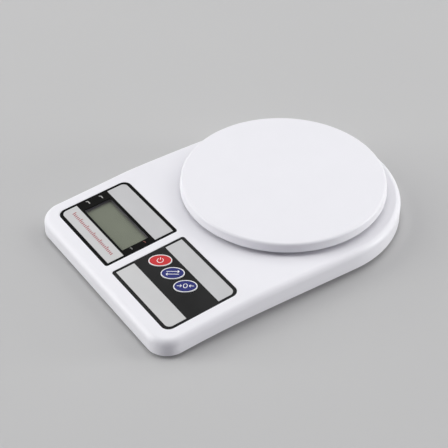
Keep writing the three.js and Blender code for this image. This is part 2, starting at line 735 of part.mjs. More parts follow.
// Straight legs between corners, each corner rounded off by a bend
class BentRoute extends THREE.Curve {
  constructor(corners, bend) {
    super();
    this.legs = new THREE.CurvePath();
    let last = corners[0];
    for (let i = 1; i + 1 < corners.length; i += 1) {
      const towards = (other) => other.clone().sub(corners[i]).setLength(bend).add(corners[i]);
      const [before, after] = [towards(corners[i - 1]), towards(corners[i + 1])];
      this.legs.add(new THREE.LineCurve3(last, before));
      this.legs.add(new THREE.QuadraticBezierCurve3(before, corners[i], after));
      last = after;
    }
    this.legs.add(new THREE.LineCurve3(last, corners.at(-1)));
  }

  getPoint(share) {
    return this.legs.getPoint(share);
  }
}

// The load cell's lead goes round the battery bay on the floor and up to the board
function leadTube(radius) {
  const bend = LEAD_DIAMETER;
  const floor = FLOOR_TOP + LEAD_DIAMETER / 2 + CLEARANCE;
  const start = cellFront - SEAL_THICKNESS - CLEARANCE;
  const beside = BAY_WIDTH / 2 + BAY_WALL + 2 * bend;
  const middle = cellBottom + CELL_THICKNESS / 2;
  const end = new THREE.Vector3(beside, BOARD_DEPTH / 2 - BOARD_NOTCH, boardBottom - CLEARANCE);
  end.applyMatrix4(panelMatrix);
  const corners = [
    new THREE.Vector3(-CELL_OFFSET, start, middle),
    new THREE.Vector3(-CELL_OFFSET, start - 2 * bend, middle),
    new THREE.Vector3(-CELL_OFFSET, start - 2 * bend, floor),
    new THREE.Vector3(beside, bayRear + BAY_WALL + 2 * bend, floor),
    new THREE.Vector3(beside, end.y, floor),
    end,
  ];
  const section = new THREE.Shape();
  section.absarc(0, 0, radius, 0, 2 * Math.PI);
  const options = { steps: LEAD_STEPS, curveSegments: 4, extrudePath: new BentRoute(corners, bend) };
  return new THREE.ExtrudeGeometry(section, options);
}

// Overlays: a black film on each side and a silver strip before and behind its band
function film(left, right, side, holes) {
  const outline = rectangle(left, right, panelFront, panelRear, overlayRadii(side));
  return cut(prism(outline, filmTop - FILM, filmTop), holes);
}

function strip(left, right, front, rear, roundCorner) {
  const round = OVERLAY_OUTER_RADIUS - SHORT_BORDER;
  const radii = [0, 1, 2, 3].map((corner) => (corner === roundCorner ? round : 0));
  return prism(rectangle(left + SHORT_BORDER, right - SHORT_BORDER, front, rear, radii), -STRIP, 0);
}

// Display bezel: neck in the deck's window, flange under the deck and a pocket for the glass
function displayBezel() {
  const neck = windowBox(WINDOW_REBATE - FIT, flangeTop, lensBottom - SEAT_GAP);
  const flange = windowBox(GLASS_MARGIN + CLEARANCE + BEZEL_WALL, boardTop + SEAT_GAP, flangeTop);
  const pocket = windowBox(GLASS_MARGIN + CLEARANCE, boardTop - OVERRUN, glassTop);
  return cut(join(neck, flange), pocket, windowBox(0, glassTop - OVERRUN, OVERRUN));
}

function displayConnector() {
  const front = windowFront - GLASS_MARGIN;
  const [bottom, top] = [boardTop + SEAT_GAP, glassBottom - SEAT_GAP];
  return block(windowLeft, windowRight, front, front + CONNECTOR_WIDTH, bottom, top);
}

function mainBoard() {
  const half = BOARD_DEPTH / 2;
  const holes = boardHoles.map((spot) =>
    rod(BOARD_SHANK_RADIUS + CLEARANCE, boardBottom - OVERRUN, 0, spot, SCREW_STEPS),
  );
  const notches = [-1, 1].map((end) =>
    rod(BOARD_NOTCH, boardBottom - OVERRUN, 0, { x: 0, y: end * (half + BOARD_NOTCH / 2) }),
  );
  return cut(block(boardLeft, boardRight, -half, half, boardBottom, boardTop), holes, notches);
}

// A domed drop of resin under the board
function sealedChip() {
  const profile = [[0, -CHIP_HEIGHT]];
  for (let i = 1; i <= EDGE_STEPS; i += 1) {
    const turn = (i / EDGE_STEPS) * (Math.PI / 2);
    profile.push([CHIP_RADIUS * Math.sin(turn), -CHIP_HEIGHT * Math.cos(turn)]);
  }
  profile.push([0, 0]);
  return turned(profile).translate(-CHIP_OFFSET, 0, boardBottom - SEAT_GAP);
}

function keySwitch(spot) {
  const { x, y } = spot;
  const half = SWITCH_SIDE / 2;
  const body = block(x - half, x + half, y - half, y + half, switchBottom, switchTop);
  return cut(body, rod(PLUNGER_RADIUS + FIT, switchTop - PLUNGER_WELL, OVERRUN, spot));
}

function switchPlunger(spot) {
  return rod(PLUNGER_RADIUS, switchTop - PLUNGER_DEPTH, plungerTop, spot);
}

// Key cap: flange under the deck, shoulder for its ring and a rounded top
function keyCap(spot) {
  const inner = RING_WIDTH + FIT;
  const levels = [
    [-KEY_FLANGE, flangeTop - KEY_FLANGE_THICKNESS],
    [-KEY_FLANGE, flangeTop],
    [0, flangeTop],
    [0, -RING_DEPTH],
    [inner, -RING_DEPTH],
    [inner, KEY_RISE - KEY_ROUND],
    [inner + KEY_ROUND, KEY_RISE],
  ];
  const stem = rod(KEY_STEM_RADIUS, plungerTop + SEAT_GAP, flangeTop - KEY_FLANGE_THICKNESS / 2, spot);
  return join(ovalSolid(levels, spot), stem);
}

function keyRing(spot) {
  const bottom = -RING_DEPTH + SEAT_GAP;
  const levels = [
    [0, bottom],
    [0, RING_RISE - KEY_ROUND / 2],
    [KEY_ROUND / 2, RING_RISE],
    [RING_WIDTH, RING_RISE],
    [RING_WIDTH, bottom],
    [0, bottom],
  ];
  const rings = levels.map(([inset, height]) => ovalRing(inset, height, spot));
  return skin(rings, () => []);
}

// Battery cells and contacts, turned to lie along X with the nub at one end
const batteryZ = FOOT_HEIGHT + COVER_THICKNESS + BATTERY_LIFT + BATTERY_RADIUS;
const batteryPlaces = [-1, 1].map((side) => ({ side, y: BAY_Y + (side * BATTERY_PITCH) / 2 }));
const contactFace = BAY_WIDTH / 2 - FIT - CONTACT_THICKNESS;
const nubTip = contactFace - FIT;
const nubBase = nubTip - BATTERY_NUB;
const flatEnd = nubBase - BATTERY_LENGTH;

function alongX(geometry, { side, y }) {
  return geometry.rotateY((-side * Math.PI) / 2).translate(0, y, batteryZ);
}

function batteryCell(spot) {
  const profile = [
    [0, flatEnd],
    [BATTERY_RADIUS, flatEnd],
    [BATTERY_RADIUS, nubBase],
    [BATTERY_NUB_RADIUS, nubBase],
    [BATTERY_NUB_RADIUS, nubTip],
    [0, nubTip],
  ];
  return alongX(turned(profile), spot);
}

class ContactCoil extends THREE.Curve {
  getPoint(share, target = new THREE.Vector3()) {
    const turn = share * SPRING_TURNS * 2 * Math.PI;
    const radius = THREE.MathUtils.lerp(SPRING_RADIUS, SPRING_TIP_RADIUS, share);
    const height = THREE.MathUtils.lerp(-contactFace, flatEnd - SPRING_WIRE - FIT, share);
    return target.set(radius * Math.cos(turn), radius * Math.sin(turn), height);
  }
}

function contactSpring(spot) {
  const section = new THREE.Shape();
  section.absarc(0, 0, SPRING_WIRE, 0, 2 * Math.PI);
  const options = { steps: 8 * SPRING_TURNS, curveSegments: 3, extrudePath: new ContactCoil() };
  return alongX(new THREE.ExtrudeGeometry(section, options), spot);
}

function contactPlate(end, front, rear) {
  const half = CONTACT_SIDE / 2;
  const middle = end * (contactFace + CONTACT_THICKNESS / 2);
  const [left, right] = [middle - CONTACT_THICKNESS / 2, middle + CONTACT_THICKNESS / 2];
  return block(left, right, front.y - half, rear.y + half, batteryZ - half, batteryZ + half);
}

// Battery cover: flat lid with two tongues in front and a sprung latch behind
function latchHook(rear) {
  const back = rear - LATCH_STANDOFF;
  const top = FOOT_HEIGHT + LATCH_HEIGHT;
  const outline = new THREE.Shape();
  outline.moveTo(back - LATCH_THICKNESS, FOOT_HEIGHT);
  outline.lineTo(back, FOOT_HEIGHT);
  outline.lineTo(back, top - 4 * LATCH_NIB);
  outline.lineTo(back + LATCH_NIB, top - 2 * LATCH_NIB);
  outline.lineTo(back, top);
  outline.lineTo(back - LATCH_THICKNESS, top);
  const hook = new THREE.ExtrudeGeometry(outline, { depth: LATCH_WIDTH, bevelEnabled: false });
  return hook.rotateX(Math.PI / 2).rotateZ(Math.PI / 2).translate(-LATCH_WIDTH / 2, 0, 0);
}

function batteryCover() {
  const front = bayFront + HATCH_FRONT_LEDGE + CLEARANCE;
  const rear = bayRear - HATCH_REAR_LEDGE - CLEARANCE;
  const half = HATCH_WIDTH / 2 - CLEARANCE;
  const lid = block(-half, half, front, rear, FOOT_HEIGHT, FOOT_HEIGHT + COVER_THICKNESS);
  const lift = FLOOR_TOP + TONGUE_LIFT;
  const tongues = [-1, 1].flatMap((side) => {
    const left = (side * HATCH_WIDTH) / 4 - TONGUE_WIDTH / 2;
    const right = left + TONGUE_WIDTH;
    const tip = front - CLEARANCE - TONGUE_REACH;
    const back = front + TONGUE_POST;
    return [
      block(left, right, front, back, FOOT_HEIGHT, lift + TONGUE_THICKNESS),
      block(left, right, tip, back, lift, lift + TONGUE_THICKNESS),
    ];
  });
  const grips = [1, 2, 3].map((i) => {
    const y = rear - LATCH_STANDOFF - LATCH_THICKNESS - 2 * i * COVER_GRIP;
    return block(-LATCH_WIDTH / 2, LATCH_WIDTH / 2, y, y + COVER_GRIP, 0, FOOT_HEIGHT + COVER_GRIP / 2);
  });
  return cut(join(lid, tongues, latchHook(rear)), grips);
}

// A screw with its head at the bottom
function screw(headRadius, headHeight, shankRadius, shankLength) {
  const profile = [
    [0, 0],
    [headRadius - headHeight / 3, 0],
    [headRadius, headHeight / 3],
    [headRadius, headHeight],
    [shankRadius, headHeight],
    [shankRadius, headHeight + shankLength - shankRadius],
    [0, headHeight + shankLength],
  ];
  return turned(profile, SCREW_STEPS);
}

function foot({ x, y }) {
  const profile = [
    [0, 0],
    [FOOT_RADIUS - FOOT_CHAMFER, 0],
    [FOOT_RADIUS, FOOT_CHAMFER],
    [FOOT_RADIUS, FOOT_HEIGHT + FOOT_POCKET - SEAT_GAP],
    [0, FOOT_HEIGHT + FOOT_POCKET - SEAT_GAP],
  ];
  return turned(profile).translate(x, y, 0);
}

// The assembly, with what lies in the deck's frame in a turned group
const scale = new THREE.Group();
const panel = new THREE.Group();
panel.position.set(0, PANEL_Y, deckHeight(PANEL_Y));
panel.rotation.x = DECK_ANGLE;
scale.add(panel);

function place(group, name, look, shape, x = 0, y = 0, z = 0) {
  const mesh = new THREE.Mesh(geometryOf(shape), new THREE.MeshStandardMaterial(finish[look]));
  mesh.name = name;
  mesh.position.set(x, y, z);
  group.add(mesh);
}

function addHousing() {
  place(scale, "upper_housing", "white", upperHousing());
  place(scale, "lower_housing", "tray", lowerHousing());
  const housingScrew = screw(HEAD_RADIUS, HEAD_HEIGHT, SHANK_RADIUS, SHANK_LENGTH);
  const z = FOOT_HEIGHT + SCREW_BOSS_SEAT - HEAD_HEIGHT - FIT;
  screwPlaces.forEach(({ x, y }, i) => {
    place(scale, `housing_screw_${i + 1}`, "steel", housingScrew, x, y, z);
  });
  footPlaces.forEach((spot, i) => place(scale, `foot_${i + 1}`, "rubber", foot(spot)));
}

function addWeighing() {
  place(scale, "weighing_plate", "white", weighingPlate());
  place(scale, "plate_carrier", "white", plateCarrier());
  place(scale, "load_cell", "aluminium", loadCell());
  place(scale, "cell_spacer", "steel", cellSpacer());
  place(scale, "gauge_seal", "rubber", gaugeSeal());
  place(scale, "cell_lead", "darkRubber", leadTube(LEAD_DIAMETER / 2));
  const bolt = (length) => screw(BOLT_HEAD_RADIUS, BOLT_HEAD_HEIGHT, BOLT_RADIUS, length);
  const fixedZ = FOOT_HEIGHT + CLEARANCE - FIT;
  const fixedLength = cellTop - fixedZ - BOLT_HEAD_HEIGHT;
  fixedBolts.forEach(({ x, y }, i) => {
    place(scale, `cell_screw_${i + 1}`, "steel", bolt(fixedLength), x, y, fixedZ);
  });
  const freeZ = cellBottom - BOLT_HEAD_HEIGHT - FIT;
  freeBolts.forEach(({ x, y }, i) => {
    place(scale, `carrier_screw_${i + 1}`, "steel", bolt(CELL_THICKNESS + HUB_SKIRT), x, y, freeZ);
  });
}

function addDisplay() {
  const [left, right] = [-overlayOuter, -overlayInner];
  const bandFront = panelFront + DISPLAY_FRONT_STRIP;
  const bandRear = bandFront + DISPLAY_BAND;
  const opening = windowBox(0, -OVERRUN, OVERRUN);
  place(panel, "display_overlay", "black", film(left, right, "display", [opening]));
  place(panel, "display_strip_front", "silver", strip(left, right, panelFront + LONG_BORDER, bandFront, 0));
  place(panel, "display_strip_rear", "silver", strip(left, right, bandRear, panelRear - LONG_BORDER, 3));
  place(panel, "display_window", "lens", windowBox(WINDOW_REBATE - FIT, lensBottom, lensTop));
  place(panel, "display_bezel", "black", displayBezel());
  place(panel, "display_glass", "glass", windowBox(GLASS_MARGIN, glassBottom, glassTop - SEAT_GAP));
  place(panel, "display_connector", "darkRubber", displayConnector());
  place(panel, "main_board", "board", mainBoard());
  place(panel, "sealed_chip", "resin", sealedChip());
  const boardScrew = screw(BOARD_HEAD_RADIUS, BOARD_HEAD_HEIGHT, BOARD_SHANK_RADIUS, BOARD_SHANK_LENGTH);
  const z = boardBottom - BOARD_HEAD_HEIGHT - SEAT_GAP;
  boardHoles.forEach(({ x, y }, i) => {
    place(panel, `board_screw_${i + 1}`, "steel", boardScrew, x, y, z);
  });
}

function addKeys() {
  const [left, right] = [overlayInner, overlayOuter];
  const bandFront = panelFront + KEY_FRONT_STRIP;
  const bandRear = bandFront + KEY_BAND;
  place(panel, "key_overlay", "black", film(left, right, "key", keyPlaces.map(keyHole)));
  place(panel, "key_strip_front", "silver", strip(left, right, panelFront + LONG_BORDER, bandFront, 1));
  place(panel, "key_strip_rear", "silver", strip(left, right, bandRear, panelRear - LONG_BORDER, 2));
  const keys = [
    ["power", "red"],
    ["unit", "blue"],
    ["tare", "blue"],
  ];
  keys.forEach(([name, colour], i) => {
    const spot = keyPlaces[i];
    place(panel, `${name}_button`, colour, keyCap(spot));
    place(panel, `${name}_button_ring`, "white", keyRing(spot));
    place(panel, `${name}_switch`, "resin", keySwitch(spot));
    place(panel, `${name}_switch_plunger`, "white", switchPlunger(spot));
  });
}

function addBatteries() {
  const [front, rear] = batteryPlaces;
  batteryPlaces.forEach((spot, i) => place(scale, `battery_cell_${i + 1}`, "wrapper", batteryCell(spot)));
  const bridge = contactPlate(front.side, front, rear);
  place(scale, "contact_bridge", "steel", join(bridge, contactSpring(front)));
  const negative = contactPlate(rear.side, rear, rear);
  place(scale, "contact_negative", "steel", join(negative, contactSpring(rear)));
  place(scale, "contact_positive", "steel", contactPlate(rear.side, front, front));
  place(scale, "battery_cover", "tray", batteryCover());
}

addHousing();
addWeighing();
addDisplay();
addKeys();
addBatteries();

export default scale;
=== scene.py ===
"""The looks of a battery kitchen scale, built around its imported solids.

Lengths are in millimetres until a mesh becomes a piece, which is in metres.
"""

import json
from math import atan, atan2, cos, exp, pi, radians, sin

import bpy
from mathutils import Matrix, Vector


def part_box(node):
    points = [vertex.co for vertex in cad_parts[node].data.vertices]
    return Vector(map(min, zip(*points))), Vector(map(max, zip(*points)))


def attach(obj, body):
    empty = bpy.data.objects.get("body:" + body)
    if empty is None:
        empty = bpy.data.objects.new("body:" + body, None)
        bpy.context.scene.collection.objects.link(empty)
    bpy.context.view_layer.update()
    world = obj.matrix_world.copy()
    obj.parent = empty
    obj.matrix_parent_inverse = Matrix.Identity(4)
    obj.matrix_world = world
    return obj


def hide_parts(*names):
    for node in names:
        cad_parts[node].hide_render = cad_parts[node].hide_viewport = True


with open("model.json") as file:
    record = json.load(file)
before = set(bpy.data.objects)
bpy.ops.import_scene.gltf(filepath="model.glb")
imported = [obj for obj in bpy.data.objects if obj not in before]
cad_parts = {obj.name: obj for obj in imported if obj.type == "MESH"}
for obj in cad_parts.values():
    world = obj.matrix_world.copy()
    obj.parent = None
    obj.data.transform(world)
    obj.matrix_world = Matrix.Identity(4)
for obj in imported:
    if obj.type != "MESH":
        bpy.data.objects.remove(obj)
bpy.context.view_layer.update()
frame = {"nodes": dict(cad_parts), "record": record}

MM = 0.001

# Body
BODY_LENGTH = 239.6
BODY_WIDTH = 166.5
FRONT_WIDTH = 164
CORNER_RADIUS = 16
FOOT_HEIGHT = 2
FRONT_WALL = 12.75
REAR_WALL = 14.9
SKIRT_ARCH = 3.6
CREST_SETBACK = 69.8
CREST_EASE = 8
DECK_SLOPE = 0.0739
EDGE_ACROSS = 4.2
EDGE_DOWN = 5
SKIRT_LIP = 0.5
SHELL = 2
SHELL_RIB = 1.2
SHELL_RIB_DEPTH = 1.8
SHELL_RIBS = 6
CLEARANCE = 0.3
FIT = 0.1
SEAT_GAP = 0.05
OVERRUN = 5
BEVEL = 0.1
BLOCK_TOP = 60
SLIVER = 0.01

# Weighing plate and its carrier
PLATE_RADIUS = 73.5
PLATE_SETBACK = 1.05
PLATE_TOP = 30.65
PLATE_RIM = 6.5
PLATE_THICKNESS = 2.2
PLATE_EDGE_RADIUS = 2
PLATE_RIM_ROUND = 0.5
PLATE_RIM_LIP = 0.4
PLATE_DRAFT = 0.5
PLATE_RIB = 1.2
PLATE_RIB_DEPTH = 2.2
PLATE_RIBS = 12
PLATE_FLAT = 4
CENTRE_DISC = 1
HUB_RADIUS = 27
HUB_WALL = 2
HUB_SEAT = 3
HUB_SKIRT = 5.3
HUB_GAP = 2
LOAD_GAP = 0.3
CARRIER_RIBS = 4
CARRIER_FLAT = 3

# Overlays, in the sloped deck's own frame
OVERLAY_OUTER = 71.4
OVERLAY_INNER = 3.35
OVERLAY_HALF = 28.7
DISPLAY_SIDES = (-OVERLAY_OUTER, -OVERLAY_INNER)
KEY_SIDES = (OVERLAY_INNER, OVERLAY_OUTER)
OVERLAY_FRONT_MARGIN = 11.03
OVERLAY_OUTER_RADIUS = 6
OVERLAY_INNER_RADIUS = 2
FILM = 0.3
FILM_ROUND = 0.06
STRIP = 0.1
STRIP_ROUND = 0.03
STRIP_CORNER = 0.2
RECESS = 0.5
LONG_BORDER = 2.6
SHORT_BORDER = 2.1
DISPLAY_BAND = (-13.7, 11.4)
KEY_BAND = (-12.0, 12.9)
WINDOW = (-61.5, -10.3, -11.8, 9.3)
WINDOW_REBATE = 1.2
LENS = 0.8
LENS_ROUND = 0.12
LENS_CORNER = 0.6
GLASS_THICKNESS = 2.8
GLASS_MARGIN = 2.7
GLASS_LEDGE = 2.2
GLASS_PLATE = 1.1

# Keys
KEY_XS = (14.1, 29.45, 44.8)
KEY_Y = 3.3
KEY_LONG = 8.3
KEY_SHORT = 5.8
KEY_TURN = radians(51)
KEY_FLANGE = 0.55
KEY_FLANGE_DEPTH = 0.8
KEY_RISE = 0.55
KEY_EDGE_RISE = 0.3
KEY_EDGE = ((0, -0.12), (0.05, -0.03), (0.16, 0))
KEY_CROWN_STEPS = 5
KEY_CROWN_REACH = 0.9
KEY_HALVINGS = 24
KEY_CLEARANCE = 0.2
KEY_STEM_RADIUS = 2.2
RING_TRIM = 0.28
RING_WIDTH = 0.62
RING_DEPTH = 0.5
RING_RISE = 0.35
RING_OUTER_ROUND = 0.12
RING_INNER_BEVEL = 0.08
SIGN_WIDTH = 0.45
PLUNGER_TOP = -3.25

# Underside
TRAY_INSET = 7
TRAY_EDGE_INSET = 0.6
TRAY_EDGE_RISE = 0.25
TRAY_BEVEL = 4.4
TRAY_HEIGHT = 7
TRAY_FLOOR = 1.8
TRAY_WALL = 1.6
TRAY_RIB = 1.2
TRAY_RIB_HEIGHT = 2.6
TRAY_RIB_SPREAD = 42
FLOOR_TOP = FOOT_HEIGHT + TRAY_FLOOR
FOOT_RADIUS = 6.5
FOOT_TOP = 2.75
FOOT_POCKET = 0.8
FOOT_ROUND = 0.6
FOOT_GROOVE = ((0, 0), (0.15, 0.25), (0.65, 0.25), (0.8, 0))
FOOT_XY = ((58.275, -86.256), (47.4525, 74.276))
SCREW_XY = ((62.01625, -106.023), (69.93, -37.9766), (49.95, 91.048))
HEAD_RADIUS = 2.7
HEAD_HEIGHT = 1.7
SHANK_RADIUS = 1.2
THREAD_PITCH = 0.8
THREAD_DEPTH = 0.15
SCREW_BOSS_RADIUS = 4.2
SCREW_BOSS_HEIGHT = 5.6
SCREW_BOSS_SEAT = 3.4
SCREW_POST_RADIUS = 3.3
SCREW_POST_ROOF = 2.5
CELL = (-42, 22, 29.15, 41.85, 7.5, 15)
CELL_END = 18
CELL_HOLE_PITCH = 9
CELL_SEAT_MARGIN = 1.2
CELL_SPACER = 1
BOLT_RADIUS = 1.8
BOLT_HEAD_RADIUS = 3.1
BOLT_HEAD_HEIGHT = 1.7
# Cross recess in a screw, as shares of its head
DRIVE_REACH = 0.6
DRIVE_HALF = 0.13
DRIVE_DEPTH = 0.55
DRIVE_CENTRE = 1.9

# Battery bay
BAY = (-28.5, 28.5, -42.2, -9.8)
BAY_Y = -26
BAY_WALL = 1.5
BAY_TOP = 17
BAY_CORNER = 0.8
BAY_OUTER_CORNER = 1
HATCH = (-27, 27, -39, -10.3)
HATCH_CORNER = 0.6
COVER_THICKNESS = 1.4
COVER_CORNER = 0.4
COVER_ROUND = 0.25
COVER_SINK = 0.05
COVER_ROOT = 0.5
COVER_GRIP = 0.8
GRIP_COUNT = 3
ARROW_GRIPS = 9
ARROW_SIZE = 3
TONGUE_REACH = 1.6
TONGUE_THICKNESS = 0.7
TONGUE_WIDTH = 8
TONGUE_CORNER = 0.6
TONGUE_POST = 0.8
TONGUE_LIFT = 0.15
LATCH_WIDTH = 12
LATCH_THICKNESS = 1
LATCH_HEIGHT = 3.6
LATCH_NIB = 0.2
LATCH_STANDOFF = 0.6
THUMB_RADIUS = 7
THUMB_DEPTH = 0.9
BATTERY_RADIUS = 7
BATTERY_LENGTH = 48.8
BATTERY_NUB = 1.2
BATTERY_NUB_RADIUS = 2.7
BATTERY_PITCH = 14.7
BATTERY_Z = 10.65
CAN_INSET = 0.9
CAN_ROUND = 0.6
NUB_STEP = 0.2
NUB_ROUND = 0.3
SLEEVE_MARGINS = (0.25, 0.15)
SLEEVE_INSET = 0.02
SLEEVE_FOLD = 0.5
BAND = (9, 3)
BAND_FOLD = 0.02
CONTACT_FACE = 28
CONTACT_THICKNESS = 0.4
CONTACT_SIDE = 9.5
CONTACT_CORNER = 1
CONTACT_ROUND = 0.08
SPRING_RADIUS = 3.2
SPRING_TIP_RADIUS = 2.2
SPRING_WIRE = 0.4
SPRING_TURNS = 3
LEAD_RADIUS = 0.9
LEAD_LEG = ((-10, 24.65), (33.6, -4.7))
NOTCH_REACH = 4

# Printed marks, in the deck's own frame, and signs in a key's
PRINT_SINK = 0.05
PRINT_RISE = 0.02
FAR_TICKS = ((-67.1, -5), (-66.5, 5.3))
NEAR_TICK = (-7.9, -5.7)
RED_TICK = (-7.8, 4.9)
LONG_TICK = (1.3, 1.6)
SHORT_TICK = (0.9, 0.9)
FLAG_WAY = (0.57, 0.82)
ROW_X = -63
ROW_Y = -20.6
ROW_COUNT = 30
ROW_PITCH = 1.776
ROW_LEAN = 0.4
ROW_LONG = 3.2
ROW_SHORT = 2.1
ROW_GROUP = 5
ARROW_HEAD = 1.1
POWER_RADIUS = 2.1
POWER_TURN = (125, 415)
POWER_DROP = 0.3
POWER_LOW = 0.4
POWER_HIGH = 2.6
UNIT_REACH = 4.3
UNIT_OFFSET = 1.25
TARE_TAIL = 5.7
TARE_TIP = 2.5
TARE_ZERO = (1.3, 1.9)

# Facets
CORNER_STEPS = 18
FRONT_SIDE_STEPS = 14
REAR_SIDE_STEPS = 30
REAR_SIDE_CROWDING = 1.6
REAR_STEPS = 54
EDGE_STEPS = 14
SLAB_EDGE_STEPS = 4
LIP_STEPS = 3
SCREW_STEPS = 32
DRIVE_STEPS = 12
TUBE_STEPS = 10
SPRING_STEPS = 26
ROUND_STEPS = 48
WIDE_STEPS = 192
OVAL_STEPS = 72
SHARP_ANGLE = radians(32)

FRONT_Y = -BODY_LENGTH / 2
REAR_Y = BODY_LENGTH / 2
REAR_RADIUS = BODY_WIDTH / 2
REAR_CENTRE = REAR_Y - REAR_RADIUS
CREST_Y = FRONT_Y + CREST_SETBACK
PLATE_Y = REAR_CENTRE - PLATE_SETBACK
DECK_ANGLE = atan(DECK_SLOPE)
PANEL_Y = FRONT_Y + OVERLAY_FRONT_MARGIN + OVERLAY_HALF * cos(DECK_ANGLE)
KEY_INNER = RING_TRIM + RING_WIDTH + SEAT_GAP
KEY_CROWN = KEY_INNER + KEY_EDGE[-1][0]


# Heights of the sloped deck and of the arched lower edge
def deck_height(y):
    front = FOOT_HEIGHT + FRONT_WALL
    if y <= CREST_Y:
        return front + DECK_SLOPE * (y - FRONT_Y)
    crest = front + DECK_SLOPE * CREST_SETBACK
    reach = REAR_Y - CREST_Y

    def ease(back):
        return DECK_SLOPE * CREST_EASE * (1 - exp(-back / CREST_EASE))

    fall = crest + ease(reach) - FOOT_HEIGHT - REAR_WALL
    return crest + ease(y - CREST_Y) - fall * ((y - CREST_Y) / reach) ** 2


def skirt_height(y):
    if y < CREST_Y:
        share = (y - FRONT_Y) / CREST_SETBACK
    else:
        share = (REAR_Y - y) / (REAR_Y - CREST_Y)
    return FOOT_HEIGHT + SKIRT_ARCH * sin(max(share, 0) * pi / 2)


PANEL = Matrix.Translation((0, PANEL_Y, deck_height(PANEL_Y))) @ Matrix.Rotation(DECK_ANGLE, 4, "X")


# Meshes in millimetres
def mesh_of(points, faces):
    mesh = bpy.data.meshes.new("form")
    mesh.from_pydata([tuple(p) for p in points], [], faces)
    mesh.validate()
    return mesh


def add_object(name, data):
    made = bpy.data.objects.new(name, data)
    bpy.context.scene.collection.objects.link(made)
    return made


def placed(mesh, matrix):
    mesh.transform(matrix)
    return mesh


def moved(mesh, x, y, z=0):
    return placed(mesh, Matrix.Translation((x, y, z)))


def on_deck(mesh):
    return placed(mesh, PANEL)


def combine(base, joined=(), cutters=()):
    """base with meshes joined to it and others cut away, by booleans on closed meshes."""
    works = [add_object("work", mesh) for mesh in (base, *joined, *cutters)]
    for i, work in enumerate(works[1:]):
        boolean = works[0].modifiers.new("combine", "BOOLEAN")
        boolean.solver = "MANIFOLD"
        boolean.operation = "UNION" if i < len(joined) else "DIFFERENCE"
        boolean.object = work
    graph = bpy.context.evaluated_depsgraph_get()
    result = bpy.data.meshes.new_from_object(works[0].evaluated_get(graph))
    for work in works:
        mesh = work.data
        bpy.data.objects.remove(work)
        bpy.data.meshes.remove(mesh)
    return result


def merged(*meshes):
    """Separate closed meshes in one mesh."""
    points, faces = [], []
    for mesh in meshes:
        start = len(points)
        points += [tuple(v.co) for v in mesh.vertices]
        faces += [[start + i for i in face.vertices] for face in mesh.polygons]
        bpy.data.meshes.remove(mesh)
    return mesh_of(points, faces)


def skin(rings, cap=None, closed=False):
    """Quads between rings of points. cap gives the faces over a ring's end, or None for one flat face."""
    count = len(rings[0])
    points = [p for ring in rings for p in ring]
    faces = []
    levels = len(rings) if closed else len(rings) - 1
    for level in range(levels):
        low, high = level * count, (level + 1) % len(rings) * count
        for i in range(count):
            j = (i + 1) % count
            faces.append((low + i, low + j, high + j, high + i))
    if not closed:
        last = (len(rings) - 1) * count
        ends = cap or (lambda start: [tuple(start + i for i in range(count))])
        faces += [face[::-1] for face in ends(0)]
        faces += ends(last)
    return mesh_of(points, faces)


def rectangle(left, right, front, rear, radii, inset):
    """A rounded outline, anticlockwise from the front left corner, drawn in by inset."""
    corners = (
        (left, front, 1, 1),
        (right, front, -1, 1),
        (right, rear, -1, -1),
        (left, rear, 1, -1),
    )
    points = []
    for corner, (x, y, in_x, in_y) in enumerate(corners):
        radius = radii[corner]
        if radius <= inset:
            points.append((x + in_x * inset, y + in_y * inset))
            continue
        for i in range(CORNER_STEPS + 1):
            turn = (corner + 2 + i / CORNER_STEPS) * pi / 2
            points.append((
                x + in_x * radius + (radius - inset) * cos(turn),
                y + in_y * radius + (radius - inset) * sin(turn),
            ))
    return points


def slab(left, right, front, rear, bottom, top, radii=(0, 0, 0, 0), round_top=0, round_bottom=0):
    """A flat solid with rounded corners, and rounded top and bottom edges."""

    def edge(radius, height, way):
        return [(radius * (1 - cos(t)), height - way * radius * (1 - sin(t)))
                for t in quarter(SLAB_EDGE_STEPS)]

    low = edge(round_bottom, bottom, -1)[::-1] if round_bottom else [(0, bottom)]
    high = edge(round_top, top, 1) if round_top else [(0, top)]
    return skin([
        [(x, y, height) for x, y in rectangle(left, right, front, rear, radii, inset)]
        for inset, height in low + high
    ])


def spokes(turns, width, start, end, bottom, top, centre=Matrix.Identity(4)):
    """Ribs from start to end along X, each turned about its centre, in half turns."""
    ribs = []
    for turn in turns:
        rib = slab(start, end, *pair(0, width), bottom, top)
        ribs.append(placed(rib, centre @ Matrix.Rotation(turn * pi, 4, "Z")))
    return ribs


def circle(steps):
    return [i / steps * 2 * pi for i in range(steps)]


def quarter(steps):
    return [i / steps * pi / 2 for i in range(steps + 1)]


def revolved(profile, steps=ROUND_STEPS):
    """A solid of revolution about Z from pairs of radius and height, on the axis at both ends."""
    points = [(0, 0, profile[0][1])]
    for radius, height in profile[1:-1]:
        points += [(radius * cos(turn), radius * sin(turn), height) for turn in circle(steps)]
    points.append((0, 0, profile[-1][1]))
    last = len(points) - 1
    faces = []
    for i in range(steps):
        j = (i + 1) % steps
        faces.append((0, 1 + j, 1 + i))
        faces.append((last, last - steps + i, last - steps + j))
        for level in range(len(profile) - 3):
            low, high = 1 + level * steps, 1 + (level + 1) * steps
            faces.append((low + i, low + j, high + j, high + i))
    return mesh_of(points, faces)


def rod(radius, bottom, top, x, y, steps=ROUND_STEPS):
    profile = [(0, bottom), (radius, bottom), (radius, top), (0, top)]
    return moved(revolved(profile, steps), x, y)


def arc(centre_r, centre_z, radius, start, end, steps=6):
    """Profile points on an arc, with angles in degrees from the outward direction."""
    turns = [radians(start + (end - start) * i / steps) for i in range(steps + 1)]
    return [(centre_r + radius * cos(t), centre_z + radius * sin(t)) for t in turns]


def pair(middle, pitch):
    return middle - pitch / 2, middle + pitch / 2


def mirrored(places):
    return [(side * x, y) for x, y in places for side in (-1, 1)]


